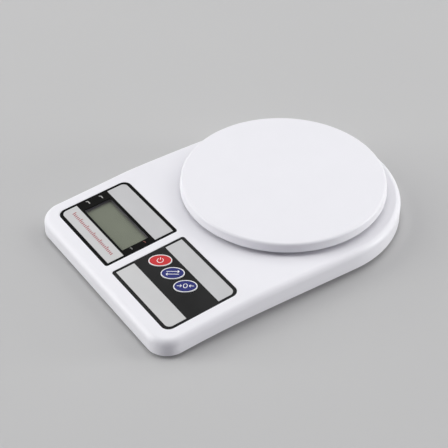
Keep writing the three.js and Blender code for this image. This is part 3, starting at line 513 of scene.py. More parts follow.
def tube(path, radius):
    """A round rod along a smooth path of vectors."""
    side = (path[1] - path[0]).orthogonal().normalized()
    rings = []
    for i, point in enumerate(path):
        way = (path[min(i + 1, len(path) - 1)] - path[max(i - 1, 0)]).normalized()
        side = (side - way * side.dot(way)).normalized()
        across = way.cross(side)
        rings.append([point + (side * cos(t) + across * sin(t)) * radius for t in circle(TUBE_STEPS)])
    return skin(rings)


def line(start, end, parts=8):
    return [tuple(Vector(start).lerp(Vector(end), i / parts)) for i in range(parts + 1)]


def loop(long, short, start=0, end=360, parts=28):
    """Points round an oval, between angles in degrees."""
    turns = [radians(start + (end - start) * i / parts) for i in range(parts + 1)]
    return [(long * cos(t), short * sin(t)) for t in turns]


def ribbon(path, width, height):
    """A printed line of even width along a plan path, lying at height(x, y)."""
    rings = []
    for i, (x, y) in enumerate(path):
        before, after = path[max(i - 1, 0)], path[min(i + 1, len(path) - 1)]
        way = Vector((after[0] - before[0], after[1] - before[1])).normalized() * width / 2
        left, right = (x - way.y, y + way.x), (x + way.y, y - way.x)
        ring = [(*at, height(*at) - PRINT_SINK) for at in (left, right)]
        ring += [(*at, height(*at) + PRINT_RISE) for at in (right, left)]
        rings.append(ring)
    return skin(rings)


# The body's plan outline: right half from the front corner, then its mirror
def body_ring(inset, height):
    start = FRONT_Y + CORNER_RADIUS
    right = []

    def side(y):
        share = (y - start) / (REAR_CENTRE - start)
        eased = share * share * (3 - 2 * share)
        right.append((FRONT_WIDTH / 2 + (REAR_RADIUS - FRONT_WIDTH / 2) * eased - inset, y))

    radius = CORNER_RADIUS - inset
    for i in range(CORNER_STEPS + 1):
        turn = (i / CORNER_STEPS - 1) * pi / 2
        x = FRONT_WIDTH / 2 - CORNER_RADIUS + radius * cos(turn)
        right.append((x, start + radius * sin(turn)))
    for i in range(1, FRONT_SIDE_STEPS + 1):
        side(start + (CREST_Y - start) * i / FRONT_SIDE_STEPS)
    for i in range(1, REAR_SIDE_STEPS):
        share = (i / REAR_SIDE_STEPS) ** REAR_SIDE_CROWDING
        side(CREST_Y + (REAR_CENTRE - CREST_Y) * share)
    for turn in quarter(REAR_STEPS)[:-1]:
        radius = REAR_RADIUS - inset
        right.append((radius * cos(turn), REAR_CENTRE + radius * sin(turn)))
    left = [(-x, y) for x, y in reversed(right)]
    return [(x, y, height(y)) for x, y in [*right, (0, REAR_Y - inset), *left]]


RING_COUNT = len(body_ring(0, deck_height))


def strip_cap(start):
    """Strips across a mirrored ring, which keep a height that depends on y alone."""
    middle = (RING_COUNT - 1) // 2
    faces = []
    for i in range(middle):
        right, left = start + i, start + RING_COUNT - 1 - i
        if i + 1 < middle:
            faces.append((right, right + 1, left - 1, left))
        else:
            faces.append((right, right + 1, left))
    return faces


def body_form(wall, lowest):
    """The body from its lowest rings up to the deck, drawn in by wall all over."""
    rings = list(lowest)
    for turn in quarter(EDGE_STEPS):
        inset = wall + (EDGE_ACROSS - wall) * (1 - cos(turn))
        drop = wall + (EDGE_DOWN - wall) * (1 - sin(turn))
        rings.append(body_ring(inset, lambda y: deck_height(y) - drop))
    return skin(rings, strip_cap)


def oval(inset, height, x):
    """A key's oval outline on the deck."""
    ring = []
    for turn in circle(OVAL_STEPS):
        along, across = (KEY_LONG - inset) * cos(turn), (KEY_SHORT - inset) * sin(turn)
        ring.append((
            x + along * cos(KEY_TURN) - across * sin(KEY_TURN),
            KEY_Y + along * sin(KEY_TURN) + across * cos(KEY_TURN),
            height,
        ))
    return ring


def key_hole(x, trim=0):
    return skin([oval(trim - KEY_CLEARANCE, height, x) for height in (-SHELL - OVERRUN, OVERRUN)])


def window_box(grow, bottom, top, **rounds):
    left, right, front, rear = WINDOW
    return slab(left - grow, right + grow, front - grow, rear + grow, bottom, top, **rounds)


def overlay_radii(side):
    outer, inner = OVERLAY_OUTER_RADIUS, OVERLAY_INNER_RADIUS
    return (outer, inner, inner, outer) if side == "display" else (inner, outer, outer, inner)


# Procedural materials
NOISE_RANGE = (0.3, 0.7)
NOISE_DETAIL = 2
GLOSS_VARY = 0.12
CLOUD_SIZE = 22
DISPLAY_CLOUDS = 14
DISPLAY_COLOUR = (0.275, 0.298, 0.228)
DISPLAY_VARY = 0.03
# Colour of the painted shade on the display next to the window's edges
DISPLAY_SHADE = (0.06, 0.056, 0.066)
# Painted shade along the window's edges, standing in for the shadow of its deep walls on the display: axis,
# side of WINDOW, then from dark to clear
PAINTED_SHADE_EDGES = (("X", 0, -2.2, 3.6), ("Y", 3, 1.6, -2.6), ("X", 1, -0.9, -1.5), ("Y", 2, 0.5, 1.4))


def feed(node, **inputs):
    """Links a node's inputs to sockets, or sets them to values."""
    for name, value in inputs.items():
        socket = node.inputs[name.replace("_", " ")]
        if isinstance(value, bpy.types.NodeSocket):
            node.id_data.links.new(value, socket)
        else:
            socket.default_value = value
    return node


def add_node(tree, kind, **inputs):
    return feed(tree.nodes.new("ShaderNode" + kind), **inputs)


def maths(tree, operation, first, second):
    node = tree.nodes.new("ShaderNodeMath")
    node.operation = operation
    tree.links.new(first, node.inputs[0])
    tree.links.new(second, node.inputs[1])
    return node.outputs["Value"]


def shader(name, colour, roughness, **inputs):
    material = bpy.data.materials.new(name)
    material.use_nodes = True
    bsdf = material.node_tree.nodes["Principled BSDF"]
    feed(bsdf, Base_Color=(*colour, 1), Roughness=roughness, **inputs)
    return material, material.node_tree, bsdf


def noise(tree, size, stretch=(1, 1, 1)):
    """Noise in the object's own coordinates, with features of about size millimetres."""
    place = add_node(tree, "TexCoord").outputs["Object"]
    vector = add_node(tree, "Mapping", Scale=stretch, Vector=place).outputs["Vector"]
    texture = add_node(tree, "TexNoise", Scale=1 / (size * MM), Detail=NOISE_DETAIL, Vector=vector)
    return texture.outputs["Fac"]


def clouded(tree, size, dark, light):
    """A colour that wanders between two others in clouds of about size millimetres."""
    ramp = add_node(tree, "ValToRGB", Fac=noise(tree, size))
    for element, position, colour in zip(ramp.color_ramp.elements, NOISE_RANGE, (dark, light)):
        element.position = position
        element.color = (*colour, 1)
    return ramp.outputs["Color"]


def varied(tree, size, colour, vary):
    """A colour in clouds that are darker and lighter by the share vary."""
    dark = [c * (1 - vary) for c in colour]
    light = [min(c * (1 + vary), 1) for c in colour]
    return clouded(tree, size, dark, light)


def textured(name, colour, roughness, vary=0.1, grain=0.6, height=0.001, stretch=(1, 1, 1), **inputs):
    """A material with clouded colour, uneven gloss and a fine relief."""
    material, tree, bsdf = shader(name, colour, roughness, **inputs)
    feed(bsdf, Base_Color=varied(tree, CLOUD_SIZE, colour, vary))
    fine = noise(tree, grain, stretch)
    gloss = add_node(tree, "MapRange", From_Min=NOISE_RANGE[0], From_Max=NOISE_RANGE[1], Value=fine,
                     To_Min=roughness * (1 - GLOSS_VARY), To_Max=roughness * (1 + GLOSS_VARY))
    feed(bsdf, Roughness=gloss.outputs["Result"])
    relief = add_node(tree, "Bump", Strength=1, Distance=height * MM, Height=fine)
    feed(bsdf, Normal=relief.outputs["Normal"])
    return material


def shaded_display():
    """Display grey with painted shade along its deep window's edges, in the panel's own millimetres."""
    material, tree, bsdf = shader("display_grey_painted_shade", DISPLAY_COLOUR, 0.45, Specular_IOR_Level=0.2)
    clouds = varied(tree, DISPLAY_CLOUDS, DISPLAY_COLOUR, DISPLAY_VARY)
    panel = add_node(tree, "Mapping", Location=PANEL.translation * MM, Rotation=PANEL.to_euler(),
                     Scale=(MM, MM, MM), Vector=add_node(tree, "TexCoord").outputs["Object"])
    panel.vector_type = "TEXTURE"
    axes = add_node(tree, "SeparateXYZ", Vector=panel.outputs["Vector"])
    share = None
    for axis, side, dark, clear in PAINTED_SHADE_EDGES:
        edge = add_node(tree, "MapRange", From_Min=WINDOW[side] + dark, From_Max=WINDOW[side] + clear,
                        Value=axes.outputs[axis])
        edge.interpolation_type = "SMOOTHSTEP"
        light = edge.outputs["Result"]
        share = light if share is None else maths(tree, "MULTIPLY", share, light)
    # Mix the painted shade into the display grey towards the window's edges
    mix = tree.nodes.new("ShaderNodeMix")
    mix.data_type = "RGBA"
    feed(mix, A=(*DISPLAY_SHADE, 1), Factor=share, B=clouds)
    feed(bsdf, Base_Color=mix.outputs["Result"])
    return material


def silver(name, colour):
    return textured(name, colour, 0.42, vary=0.025, grain=0.35, height=0.002, Metallic=0.15)


looks = {
    "white_shell": textured("white_gloss_plastic", (0.888, 0.881, 0.921), 0.36, vary=0.005, height=0.0015,
                            Specular_IOR_Level=0.35),
    "tray_plastic": textured("white_fine_plastic", (0.76, 0.76, 0.79), 0.5, vary=0.012, height=0.006),
    "inner_plastic": textured("white_matt_plastic", (0.78, 0.78, 0.80), 0.48, vary=0.015, height=0.004),
    "black_film": textured("black_film_print", (0.005, 0.005, 0.005), 0.36, Specular_IOR_Level=0.05),
    "silver_film": silver("silver_film_print", (0.562, 0.56, 0.572)),
    "clear_window": textured("clear_acrylic", (0.06, 0.06, 0.06), 0.05, vary=0.01, height=0.0004, Alpha=0.1),
    "display_glass": shaded_display(),
    "red_key": textured("red_print", (0.58, 0.035, 0.04), 0.34, vary=0.04, Specular_IOR_Level=0.25),
    "blue_key": textured("blue_print", (0.022, 0.027, 0.17), 0.34, vary=0.06, Specular_IOR_Level=0.25),
    "green_board": textured("green_solder_mask", (0.02, 0.11, 0.04), 0.4, vary=0.15, height=0.002),
    "black_resin": textured("black_resin", (0.008, 0.008, 0.009), 0.3, height=0.002),
    "grey_rubber": textured("grey_rubber", (0.27, 0.28, 0.29), 0.8, vary=0.06, grain=0.3, height=0.01),
    "dark_rubber": textured("dark_rubber", (0.03, 0.03, 0.032), 0.7, grain=0.3, height=0.008),
    "aluminium": textured("milled_aluminium", (0.62, 0.63, 0.65), 0.34, vary=0.04, grain=0.4,
                          height=0.004, stretch=(0.05, 1, 1), Metallic=1.0),
    "steel": textured("zinc_steel", (0.56, 0.57, 0.6), 0.3, vary=0.06, grain=0.5, height=0.003, Metallic=1.0),
    "cell_wrapper": textured("green_wrapper", (0.03, 0.11, 0.055), 0.28, vary=0.05),
}
pale_silver = silver("pale_silver_print", (0.6, 0.598, 0.603))
worn_black = textured("worn_black_print", (0.015, 0.015, 0.0155), 0.4, vary=0.25, Specular_IOR_Level=0.12)
white_print = textured("white_print", (0.95, 0.95, 0.96), 0.4, vary=0.02)
grey_print = textured("grey_print", (0.48, 0.48, 0.47), 0.45, vary=0.05)
dim_print = textured("dim_print", (0.27, 0.27, 0.26), 0.45, vary=0.05)
red_mark = textured("red_mark_print", (0.22, 0.06, 0.045), 0.45, vary=0.08)
pale_red = textured("pale_red_print", (0.37, 0.045, 0.055), 0.45, vary=0.08)


def piece(name, mesh, slot, body, replaced=(), material=None):
    """A mesh in millimetres becomes a piece of the object that rides on a body."""
    mesh.transform(Matrix.Scale(MM, 4))
    mesh.name = name
    mesh.shade_smooth()
    mesh.set_sharp_from_angle(angle=SHARP_ANGLE)
    mesh.materials.clear()
    mesh.materials.append(material or looks[slot])
    made = add_object(name, mesh)
    made.modifiers.new("weighted", "WEIGHTED_NORMAL").keep_sharp = True
    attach(made, body)
    if replaced:
        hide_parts(*replaced)
    return made


# Upper housing
def upper_housing():
    lip = []
    for turn in quarter(LIP_STEPS):
        inset, rise = SKIRT_LIP * (1 - sin(turn)), SKIRT_LIP * (1 - cos(turn))
        lip.append(body_ring(inset, lambda y: skirt_height(y) + rise))
    outer = body_form(0, lip)
    inner = body_form(SHELL, [body_ring(SHELL, lambda y: -OVERRUN)])
    core = body_form(SHELL / 2, [body_ring(SHELL / 2, lambda y: 0)])
    rib_bottom = deck_height(PLATE_Y) - SHELL - SHELL_RIB_DEPTH
    ribs = spokes([i / SHELL_RIBS for i in range(1, SHELL_RIBS)], SHELL_RIB, HUB_RADIUS, REAR_RADIUS,
                  rib_bottom, PLATE_TOP, Matrix.Translation((0, PLATE_Y, 0)))
    posts = [
        rod(SCREW_POST_RADIUS, FOOT_HEIGHT + SCREW_BOSS_HEIGHT + CLEARANCE, PLATE_TOP, x, y)
        for x, y in mirrored(SCREW_XY)
    ]
    collar = rod(HUB_RADIUS + HUB_GAP + SHELL, rib_bottom, PLATE_TOP, 0, PLATE_Y, WIDE_STEPS)
    block = skin([body_ring(-OVERRUN, lambda y: -OVERRUN), body_ring(-OVERRUN, lambda y: BLOCK_TOP)],
                 strip_cap)
    inside = combine(combine(collar, ribs + posts), cutters=[combine(block, cutters=[core])])

    def recess(left, right, side):
        half = OVERLAY_HALF + FIT
        return on_deck(slab(left - FIT, right + FIT, -half, half, -RECESS, OVERRUN, overlay_radii(side)))

    cutters = [
        recess(*DISPLAY_SIDES, "display"),
        recess(*KEY_SIDES, "key"),
        on_deck(window_box(WINDOW_REBATE, -SHELL - OVERRUN, OVERRUN)),
        rod(HUB_RADIUS + HUB_GAP, 0, PLATE_TOP, 0, PLATE_Y, WIDE_STEPS),
    ]
    cutters += [on_deck(key_hole(x)) for x in KEY_XS]
    cutters += [
        rod(SHANK_RADIUS + FIT, 0, deck_height(y) - SCREW_POST_ROOF, x, y) for x, y in mirrored(SCREW_XY)
    ]
    return combine(combine(outer, cutters=[inner]), [inside], cutters)


piece("upper_housing_shell", upper_housing(), "white_shell", "housing", ["upper_housing"])


# Lower housing
def lower_housing():
    wall = SHELL + CLEARANCE

    def level(height):
        return lambda y: FOOT_HEIGHT + height

    outer = skin([
        body_ring(TRAY_INSET + TRAY_EDGE_INSET, level(0)),
        body_ring(TRAY_INSET, level(TRAY_EDGE_RISE)),
        body_ring(wall, level(TRAY_BEVEL)),
        body_ring(wall, level(TRAY_HEIGHT)),
    ], strip_cap)
    inner = skin([
        body_ring(TRAY_INSET + TRAY_WALL, level(TRAY_FLOOR)),
        body_ring(wall + TRAY_WALL, level(TRAY_BEVEL + TRAY_WALL / 2)),
        body_ring(wall + TRAY_WALL, level(TRAY_HEIGHT + OVERRUN)),
    ], strip_cap)
    bay_left, bay_right, bay_front, bay_rear = BAY
    cell_left, cell_right, cell_front, cell_rear, cell_bottom, cell_top = CELL
    rib_top = FLOOR_TOP + TRAY_RIB_HEIGHT
    width = cell_rear - cell_front
    joined = [slab(*pair(x, TRAY_RIB), bay_front, REAR_CENTRE, FOOT_HEIGHT, rib_top)
              for x in (-TRAY_RIB_SPREAD, TRAY_RIB_SPREAD)]
    joined += [slab(-TRAY_RIB_SPREAD, TRAY_RIB_SPREAD, *pair(y, TRAY_RIB), FOOT_HEIGHT, rib_top)
               for y in (cell_front - width, cell_rear + width)]
    margin = CELL_SEAT_MARGIN
    joined.append(slab(cell_left - margin, cell_left + CELL_END, cell_front - margin, cell_rear + margin,
                       FOOT_HEIGHT, cell_bottom - CELL_SPACER))
    boss_top = FOOT_HEIGHT + SCREW_BOSS_HEIGHT
    joined += [rod(SCREW_BOSS_RADIUS, FOOT_HEIGHT, boss_top, x, y) for x, y in mirrored(SCREW_XY)]
    joined.append(slab(bay_left - BAY_WALL, bay_right + BAY_WALL, bay_front - BAY_WALL,
                       bay_rear + BAY_WALL, FOOT_HEIGHT, BAY_TOP, (BAY_OUTER_CORNER,) * 4))
    cutters = [
        slab(*BAY, FLOOR_TOP, BAY_TOP + OVERRUN, (BAY_CORNER,) * 4),
        slab(*HATCH, 0, BAY_TOP, (HATCH_CORNER,) * 4),
        rod(THUMB_RADIUS, 0, FOOT_HEIGHT + THUMB_DEPTH, 0, HATCH[3]),
    ]
    cutters += [rod(FOOT_RADIUS + FIT, 0, FOOT_HEIGHT + FOOT_POCKET, x, y) for x, y in mirrored(FOOT_XY)]
    for x in pair(cell_left + CELL_END / 2, CELL_HOLE_PITCH):
        cutters.append(rod(BOLT_RADIUS + CLEARANCE, 0, cell_bottom + OVERRUN, x, PLATE_Y))
        seat = FOOT_HEIGHT + BOLT_HEAD_HEIGHT + CLEARANCE
        cutters.append(rod(BOLT_HEAD_RADIUS + CLEARANCE, 0, seat, x, PLATE_Y))
    for x, y in mirrored(SCREW_XY):
        cutters.append(rod(SHANK_RADIUS + CLEARANCE, 0, boss_top + OVERRUN, x, y))
        cutters.append(rod(HEAD_RADIUS + CLEARANCE, 0, FOOT_HEIGHT + SCREW_BOSS_SEAT, x, y))
    crossing = cell_front - width
    (from_x, from_y), (to_x, to_y) = LEAD_LEG
    along = (from_y - crossing) / (from_y - to_y)
    notch = LEAD_RADIUS + CLEARANCE
    turned = Matrix.Translation((from_x + (to_x - from_x) * along, crossing, 0))
    turned @= Matrix.Rotation(atan2(to_y - from_y, to_x - from_x), 4, "Z")
    cutters.append(placed(slab(-NOTCH_REACH, NOTCH_REACH, -notch, notch, FLOOR_TOP,
                               rib_top + OVERRUN), turned))
    return combine(combine(outer, cutters=[inner]), joined, cutters)


piece("lower_housing_tray", lower_housing(), "tray_plastic", "housing", ["lower_housing"])


def foot():
    """A foot with a ring groove in its sole."""
    profile = [(0, 0)] + [(FOOT_RADIUS / 2 + out, up) for out, up in FOOT_GROOVE]
    profile += arc(FOOT_RADIUS - FOOT_ROUND, FOOT_ROUND, FOOT_ROUND, -90, 0)
    profile += [(FOOT_RADIUS, FOOT_TOP - BEVEL), (FOOT_RADIUS - BEVEL, FOOT_TOP), (0, FOOT_TOP)]
    return revolved(profile)


def screw(head_radius, head_height, shank_radius, length):
    """A screw with its head down, a cross recess in the head and ridged threads."""
    crown = head_height / 3
    profile = [(0, 0)]
    profile += arc(head_radius - crown, crown, crown, -90, 0, 4)
    profile += [(head_radius, head_height - BEVEL), (head_radius - BEVEL, head_height)]
    profile += [(shank_radius, head_height)]
    height = head_height + THREAD_PITCH
    while height < head_height + length - shank_radius:
        profile += [(shank_radius - THREAD_DEPTH, height - THREAD_PITCH / 2), (shank_radius, height)]
        height += THREAD_PITCH
    profile += [(0, head_height + length)]
    reach, half = head_radius * DRIVE_REACH, head_radius * DRIVE_HALF
    depth = head_height * DRIVE_DEPTH
    drive = [
        slab(-reach, reach, -half, half, -1, depth),
        slab(-half, half, -reach, reach, -1, depth),
        rod(half * DRIVE_CENTRE, -1, depth, 0, 0, DRIVE_STEPS),
    ]
    return combine(revolved(profile, SCREW_STEPS), cutters=drive)


def centre_of(node):
    """The middle of a node in plan, then its lowest and highest point."""
    low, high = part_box(node)
    return (low[0] + high[0]) / 2 / MM, (low[1] + high[1]) / 2 / MM, low[2] / MM, high[2] / MM


for i in range(1, 5):
    x, y, low, high = centre_of(f"foot_{i}")
    piece(f"foot_{i}_pad", moved(foot(), x, y), "grey_rubber", "housing", [f"foot_{i}"])
bolt = (BOLT_HEAD_RADIUS, BOLT_HEAD_HEIGHT, BOLT_RADIUS)
for name, count, body, sizes in (
    ("housing_screw", 6, "housing", (HEAD_RADIUS, HEAD_HEIGHT, SHANK_RADIUS)),
    ("cell_screw", 2, "housing", bolt),
    ("carrier_screw", 2, "plate_carrier", bolt),
):
    for i in range(1, count + 1):
        x, y, low, high = centre_of(f"{name}_{i}")
        form = moved(screw(*sizes, high - low - sizes[1]), x, y, low)
        piece(f"{name}_{i}_form", form, "steel", body, [f"{name}_{i}"])


# Battery bay: cells, contacts and cover
def along_x(mesh, side, y):
    """Lies a mesh that stands on its axis along X, facing away from side."""
    turn = Matrix.Rotation(-side * pi / 2, 4, "Y")
    return placed(mesh, Matrix.Translation((0, y, BATTERY_Z)) @ turn)


battery_tip = CONTACT_FACE - FIT
battery_shoulder = battery_tip - BATTERY_NUB
battery_end = battery_shoulder - BATTERY_LENGTH


def battery_can():
    side = BATTERY_RADIUS - CAN_INSET
    nub = BATTERY_NUB_RADIUS
    profile = [(0, battery_end), (BATTERY_RADIUS - 1, battery_end)]
    profile += arc(side, battery_end + CAN_ROUND, CAN_ROUND, -90, 0, 4)
    profile += arc(side, battery_shoulder - CAN_ROUND, CAN_ROUND, 0, 90, 4)
    profile += [(nub + NUB_ROUND, battery_shoulder), (nub, battery_shoulder + NUB_STEP)]
    profile += arc(nub - NUB_ROUND, battery_tip - NUB_ROUND, NUB_ROUND, 0, 90, 3)
    profile += [(0, battery_tip)]
    return revolved(profile)


def battery_sleeve(start, end, radius, fold):
    profile = [(0, start)]
    profile += arc(radius - fold, start + fold, fold, -90, 0, 4)
    profile += arc(radius - fold, end - fold, fold, 0, 90, 4)
    profile += [(0, end)]
    return revolved(profile)


def contact_plate(end, front, rear):
    half = CONTACT_SIDE / 2
    plate = slab(-half, half, front - half, rear + half, *pair(0, CONTACT_THICKNESS),
                 (CONTACT_CORNER,) * 4, CONTACT_ROUND, CONTACT_ROUND)
    middle = end * (CONTACT_FACE + CONTACT_THICKNESS / 2)
    return placed(plate, Matrix.Translation((middle, 0, BATTERY_Z)) @ Matrix.Rotation(pi / 2, 4, "Y"))


def contact_spring(side, y):
    """A spring that narrows towards the end of its cell."""
    path = []
    parts = SPRING_STEPS * SPRING_TURNS
    for i in range(parts + 1):
        turn = i / parts * SPRING_TURNS * 2 * pi
        radius = SPRING_RADIUS + (SPRING_TIP_RADIUS - SPRING_RADIUS) * i / parts
        tip = battery_end - SPRING_WIRE - FIT
        height = -CONTACT_FACE + (tip + CONTACT_FACE) * i / parts
        path.append(Vector((radius * cos(turn), radius * sin(turn), height)))
    return along_x(tube(path, SPRING_WIRE), side, y)


battery_ys = pair(BAY_Y, BATTERY_PITCH)
for i, (side, y) in enumerate(zip((-1, 1), battery_ys), 1):
    node = [f"battery_cell_{i}"]
    sleeve = battery_sleeve(battery_end + SLEEVE_MARGINS[0], battery_shoulder - SLEEVE_MARGINS[1],
                            BATTERY_RADIUS - SLEEVE_INSET, SLEEVE_FOLD)
    band = battery_sleeve(battery_shoulder - BAND[0], battery_shoulder - BAND[1], BATTERY_RADIUS, BAND_FOLD)
    piece(f"battery_{i}_can", along_x(battery_can(), side, y), "steel", "housing", node)
    piece(f"battery_{i}_sleeve", along_x(sleeve, side, y), "cell_wrapper", "housing", node)
    piece(f"battery_{i}_band", along_x(band, side, y), "cell_wrapper", "housing", node, material=white_print)
for name, end, ys, sprung in (
    ("contact_bridge", -1, battery_ys, battery_ys[:1]),
    ("contact_negative", 1, battery_ys[1:], battery_ys[1:]),
    ("contact_positive", 1, battery_ys[:1], ()),
):
    piece(f"{name}_plate", contact_plate(end, ys[0], ys[-1]), "steel", "housing", [name])
    for y in sprung:
        piece(f"{name}_spring", contact_spring(end, y), "steel", "housing", [name])


def battery_cover():
    """A lid with two tongues, a latch, grips and an arrow."""
    left, right, front, rear = HATCH
    front, rear = front + CLEARANCE, rear - CLEARANCE
    root = FOOT_HEIGHT + COVER_ROOT
    lid = slab(left + CLEARANCE, right - CLEARANCE, front, rear, FOOT_HEIGHT, FOOT_HEIGHT + COVER_THICKNESS,
               (COVER_CORNER,) * 4, BEVEL, COVER_ROUND)
    lift = FLOOR_TOP + TONGUE_LIFT
    lift_top = lift + TONGUE_THICKNESS
    joined = []
    for x in (left / 2, right / 2):
        sides = pair(x, TONGUE_WIDTH)
        joined.append(slab(*sides, front + COVER_SINK, front + TONGUE_POST, root, lift_top))
        joined.append(slab(*sides, front - CLEARANCE - TONGUE_REACH, front + TONGUE_POST, lift, lift_top,
                           (TONGUE_CORNER, TONGUE_CORNER, 0, 0), BEVEL, BEVEL))
    back = rear - LATCH_STANDOFF
    hook_top = FOOT_HEIGHT + LATCH_HEIGHT
    hook = [(back - LATCH_THICKNESS, root), (back, root)]
    hook += [(back, hook_top - 4 * LATCH_NIB), (back + LATCH_NIB, hook_top - 2 * LATCH_NIB)]
    hook += [(back, hook_top), (back - LATCH_THICKNESS, hook_top)]
    joined.append(skin([[(x, y, z) for y, z in hook] for x in pair(0, LATCH_WIDTH)]))
    cutters = []
    groove_top = FOOT_HEIGHT + COVER_GRIP / 2
    for i in range(1, GRIP_COUNT + 1):
        y = back - LATCH_THICKNESS - 2 * i * COVER_GRIP
        cutters.append(slab(*pair(0, LATCH_WIDTH), y, y + COVER_GRIP, 0, groove_top,
                            (COVER_GRIP / 2 - SLIVER,) * 4))
    base = back - LATCH_THICKNESS - ARROW_GRIPS * COVER_GRIP
    arrow = [(-ARROW_SIZE, base - ARROW_SIZE), (ARROW_SIZE, base - ARROW_SIZE), (0, base)]
    cutters.append(skin([[(x, y, z) for x, y in arrow] for z in (0, groove_top)]))
    return combine(lid, joined, cutters)


piece("battery_cover_lid", battery_cover(), "tray_plastic", "battery_cover", ["battery_cover"])


# Weighing plate
def weighing_plate():
    """A dish with a turned-down rim, and with ribs, a hub ring and bars underneath."""
    under = PLATE_TOP - PLATE_THICKNESS
    bottom = PLATE_TOP - PLATE_RIM
    inside = PLATE_RADIUS - PLATE_THICKNESS
    round_ = PLATE_RIM_ROUND
    lip = bottom - PLATE_RIM_LIP + round_
    edge = PLATE_EDGE_RADIUS
    profile = [(0, under), (CENTRE_DISC, under), (inside - edge, under)]
    profile += [(inside - PLATE_DRAFT, under - edge + PLATE_DRAFT)]
    profile += arc(inside + round_, lip, round_, 180, 270)
    profile += arc(PLATE_RADIUS - round_, lip, round_, -90, 0)
    profile += arc(PLATE_RADIUS - PLATE_DRAFT - edge, PLATE_TOP - edge, edge, 0, 90, EDGE_STEPS)
    profile += [(PLATE_RADIUS - edge - PLATE_FLAT, PLATE_TOP), (0, PLATE_TOP)]
    dish = revolved(profile, WIDE_STEPS)
    ring_inside = HUB_RADIUS + CLEARANCE
    in_dish = PLATE_TOP - PLATE_THICKNESS / 2
    hub = combine(
        rod(ring_inside + HUB_WALL, bottom, in_dish, 0, 0, WIDE_STEPS),
        cutters=[rod(ring_inside, bottom - OVERRUN, under, 0, 0, WIDE_STEPS)],
    )
    middle = ring_inside + HUB_WALL / 2
    ribs = spokes([2 * i / PLATE_RIBS for i in range(PLATE_RIBS)], PLATE_RIB, middle, inside - PLATE_DRAFT,
                  under - PLATE_RIB_DEPTH, in_dish)
    bars = spokes((0, 0.5), PLATE_RIB, -middle, middle, under - HUB_SEAT, in_dish)
    return moved(combine(dish, [hub] + ribs + bars), 0, PLATE_Y)


piece("weighing_plate_dish", weighing_plate(), "white_shell", "weighing_plate", ["weighing_plate"])


def plate_carrier():
    """A cup with crossed ribs, and a block between them for the load cell's screws."""
    top = PLATE_TOP - PLATE_THICKNESS - HUB_SEAT - FIT
    roof = top - HUB_WALL
    bottom = roof - HUB_SKIRT
    inside = HUB_RADIUS - HUB_WALL
    profile = [(0, roof), (CENTRE_DISC, roof), (inside, roof), (inside, bottom), (HUB_RADIUS, bottom)]
    profile += arc(HUB_RADIUS - PLATE_DRAFT, top - PLATE_DRAFT, PLATE_DRAFT, 0, 90)
    profile += [(HUB_RADIUS - CARRIER_FLAT, top), (0, top)]
    cup = revolved(profile, WIDE_STEPS)
    reach = inside + HUB_WALL / 2
    in_roof = top - HUB_WALL / 2
    joined = spokes([i / CARRIER_RIBS for i in range(CARRIER_RIBS)], PLATE_RIB, -reach, reach,
                    bottom + HUB_WALL, in_roof)
    _, cell_right, cell_front, cell_rear, _, cell_top = CELL
    cell_half = (cell_rear - cell_front) / 2
    joined.append(slab(cell_right - CELL_END + CLEARANCE, cell_right, -cell_half, cell_half,
                       cell_top + LOAD_GAP, in_roof))
    pilots = [rod(BOLT_RADIUS + FIT, 0, roof, x, 0)
              for x in pair(cell_right - CELL_END / 2, CELL_HOLE_PITCH)]
    return moved(combine(cup, joined, pilots), 0, PLATE_Y)


piece("plate_carrier_cup", plate_carrier(), "inner_plastic", "plate_carrier", ["plate_carrier"])

# Overlays: a black film on each side and its silver strips
film_top = -STRIP - SEAT_GAP


def film(side, left, right, holes):
    blank = slab(left, right, -OVERLAY_HALF, OVERLAY_HALF, film_top - FILM, film_top,
                 overlay_radii(side), FILM_ROUND)
    return on_deck(combine(blank, cutters=holes))


def strip(left, right, front, rear, corner):
    radii = [STRIP_CORNER] * 4
    radii[corner] = OVERLAY_OUTER_RADIUS - SHORT_BORDER
    return on_deck(slab(left + SHORT_BORDER, right - SHORT_BORDER, front, rear, -STRIP, 0, radii,
                        STRIP_ROUND))


edge = OVERLAY_HALF - LONG_BORDER
piece("display_film", film("display", *DISPLAY_SIDES, [window_box(0, -OVERRUN, OVERRUN)]),
      "black_film", "housing", ["display_overlay"])
piece("key_film", film("key", *KEY_SIDES, [key_hole(x, RING_TRIM) for x in KEY_XS]),
      "black_film", "housing", ["key_overlay"], material=worn_black)
for name, sides, front, rear, corner in (
    ("display_strip_front", DISPLAY_SIDES, -edge, DISPLAY_BAND[0], 0),
    ("display_strip_rear", DISPLAY_SIDES, DISPLAY_BAND[1], edge, 3),
    ("key_strip_front", KEY_SIDES, -edge, KEY_BAND[0], 1),
    ("key_strip_rear", KEY_SIDES, KEY_BAND[1], edge, 2),
):
    piece(name + "_print", strip(*sides, front, rear, corner), "silver_film", "housing", [name],
          material=pale_silver if "front" in name else None)

# Display under its window
lens_top = -RECESS
lens_bottom = lens_top - LENS
glass_top = -SHELL - CLEARANCE - SEAT_GAP
glass_bottom = -SHELL - CLEARANCE - GLASS_THICKNESS
piece("display_window_lens",
      on_deck(window_box(WINDOW_REBATE - FIT, lens_bottom, lens_top, radii=(LENS_CORNER,) * 4,
                         round_top=LENS_ROUND)),
      "clear_window", "housing", ["display_window"])
left, right, front, rear = WINDOW
margin = GLASS_MARGIN
upper_glass = slab(left - margin, right + margin, front - margin + GLASS_LEDGE, rear + margin,
                   glass_top - GLASS_PLATE, glass_top, round_top=BEVEL)
lower_glass = window_box(margin, glass_bottom, glass_top - GLASS_PLATE + FIT)
piece("display_glass_pair", on_deck(combine(upper_glass, [lower_glass])), "display_glass", "housing",
      ["display_glass"])

# Keys with their rings and signs
flange_top = -SHELL - SEAT_GAP


def crown(share):
    """Height of a key's crowned top, from 0 at its edge to 1 at its middle."""
    return KEY_EDGE_RISE + (KEY_RISE - KEY_EDGE_RISE) * (1 - (1 - share) ** 2)


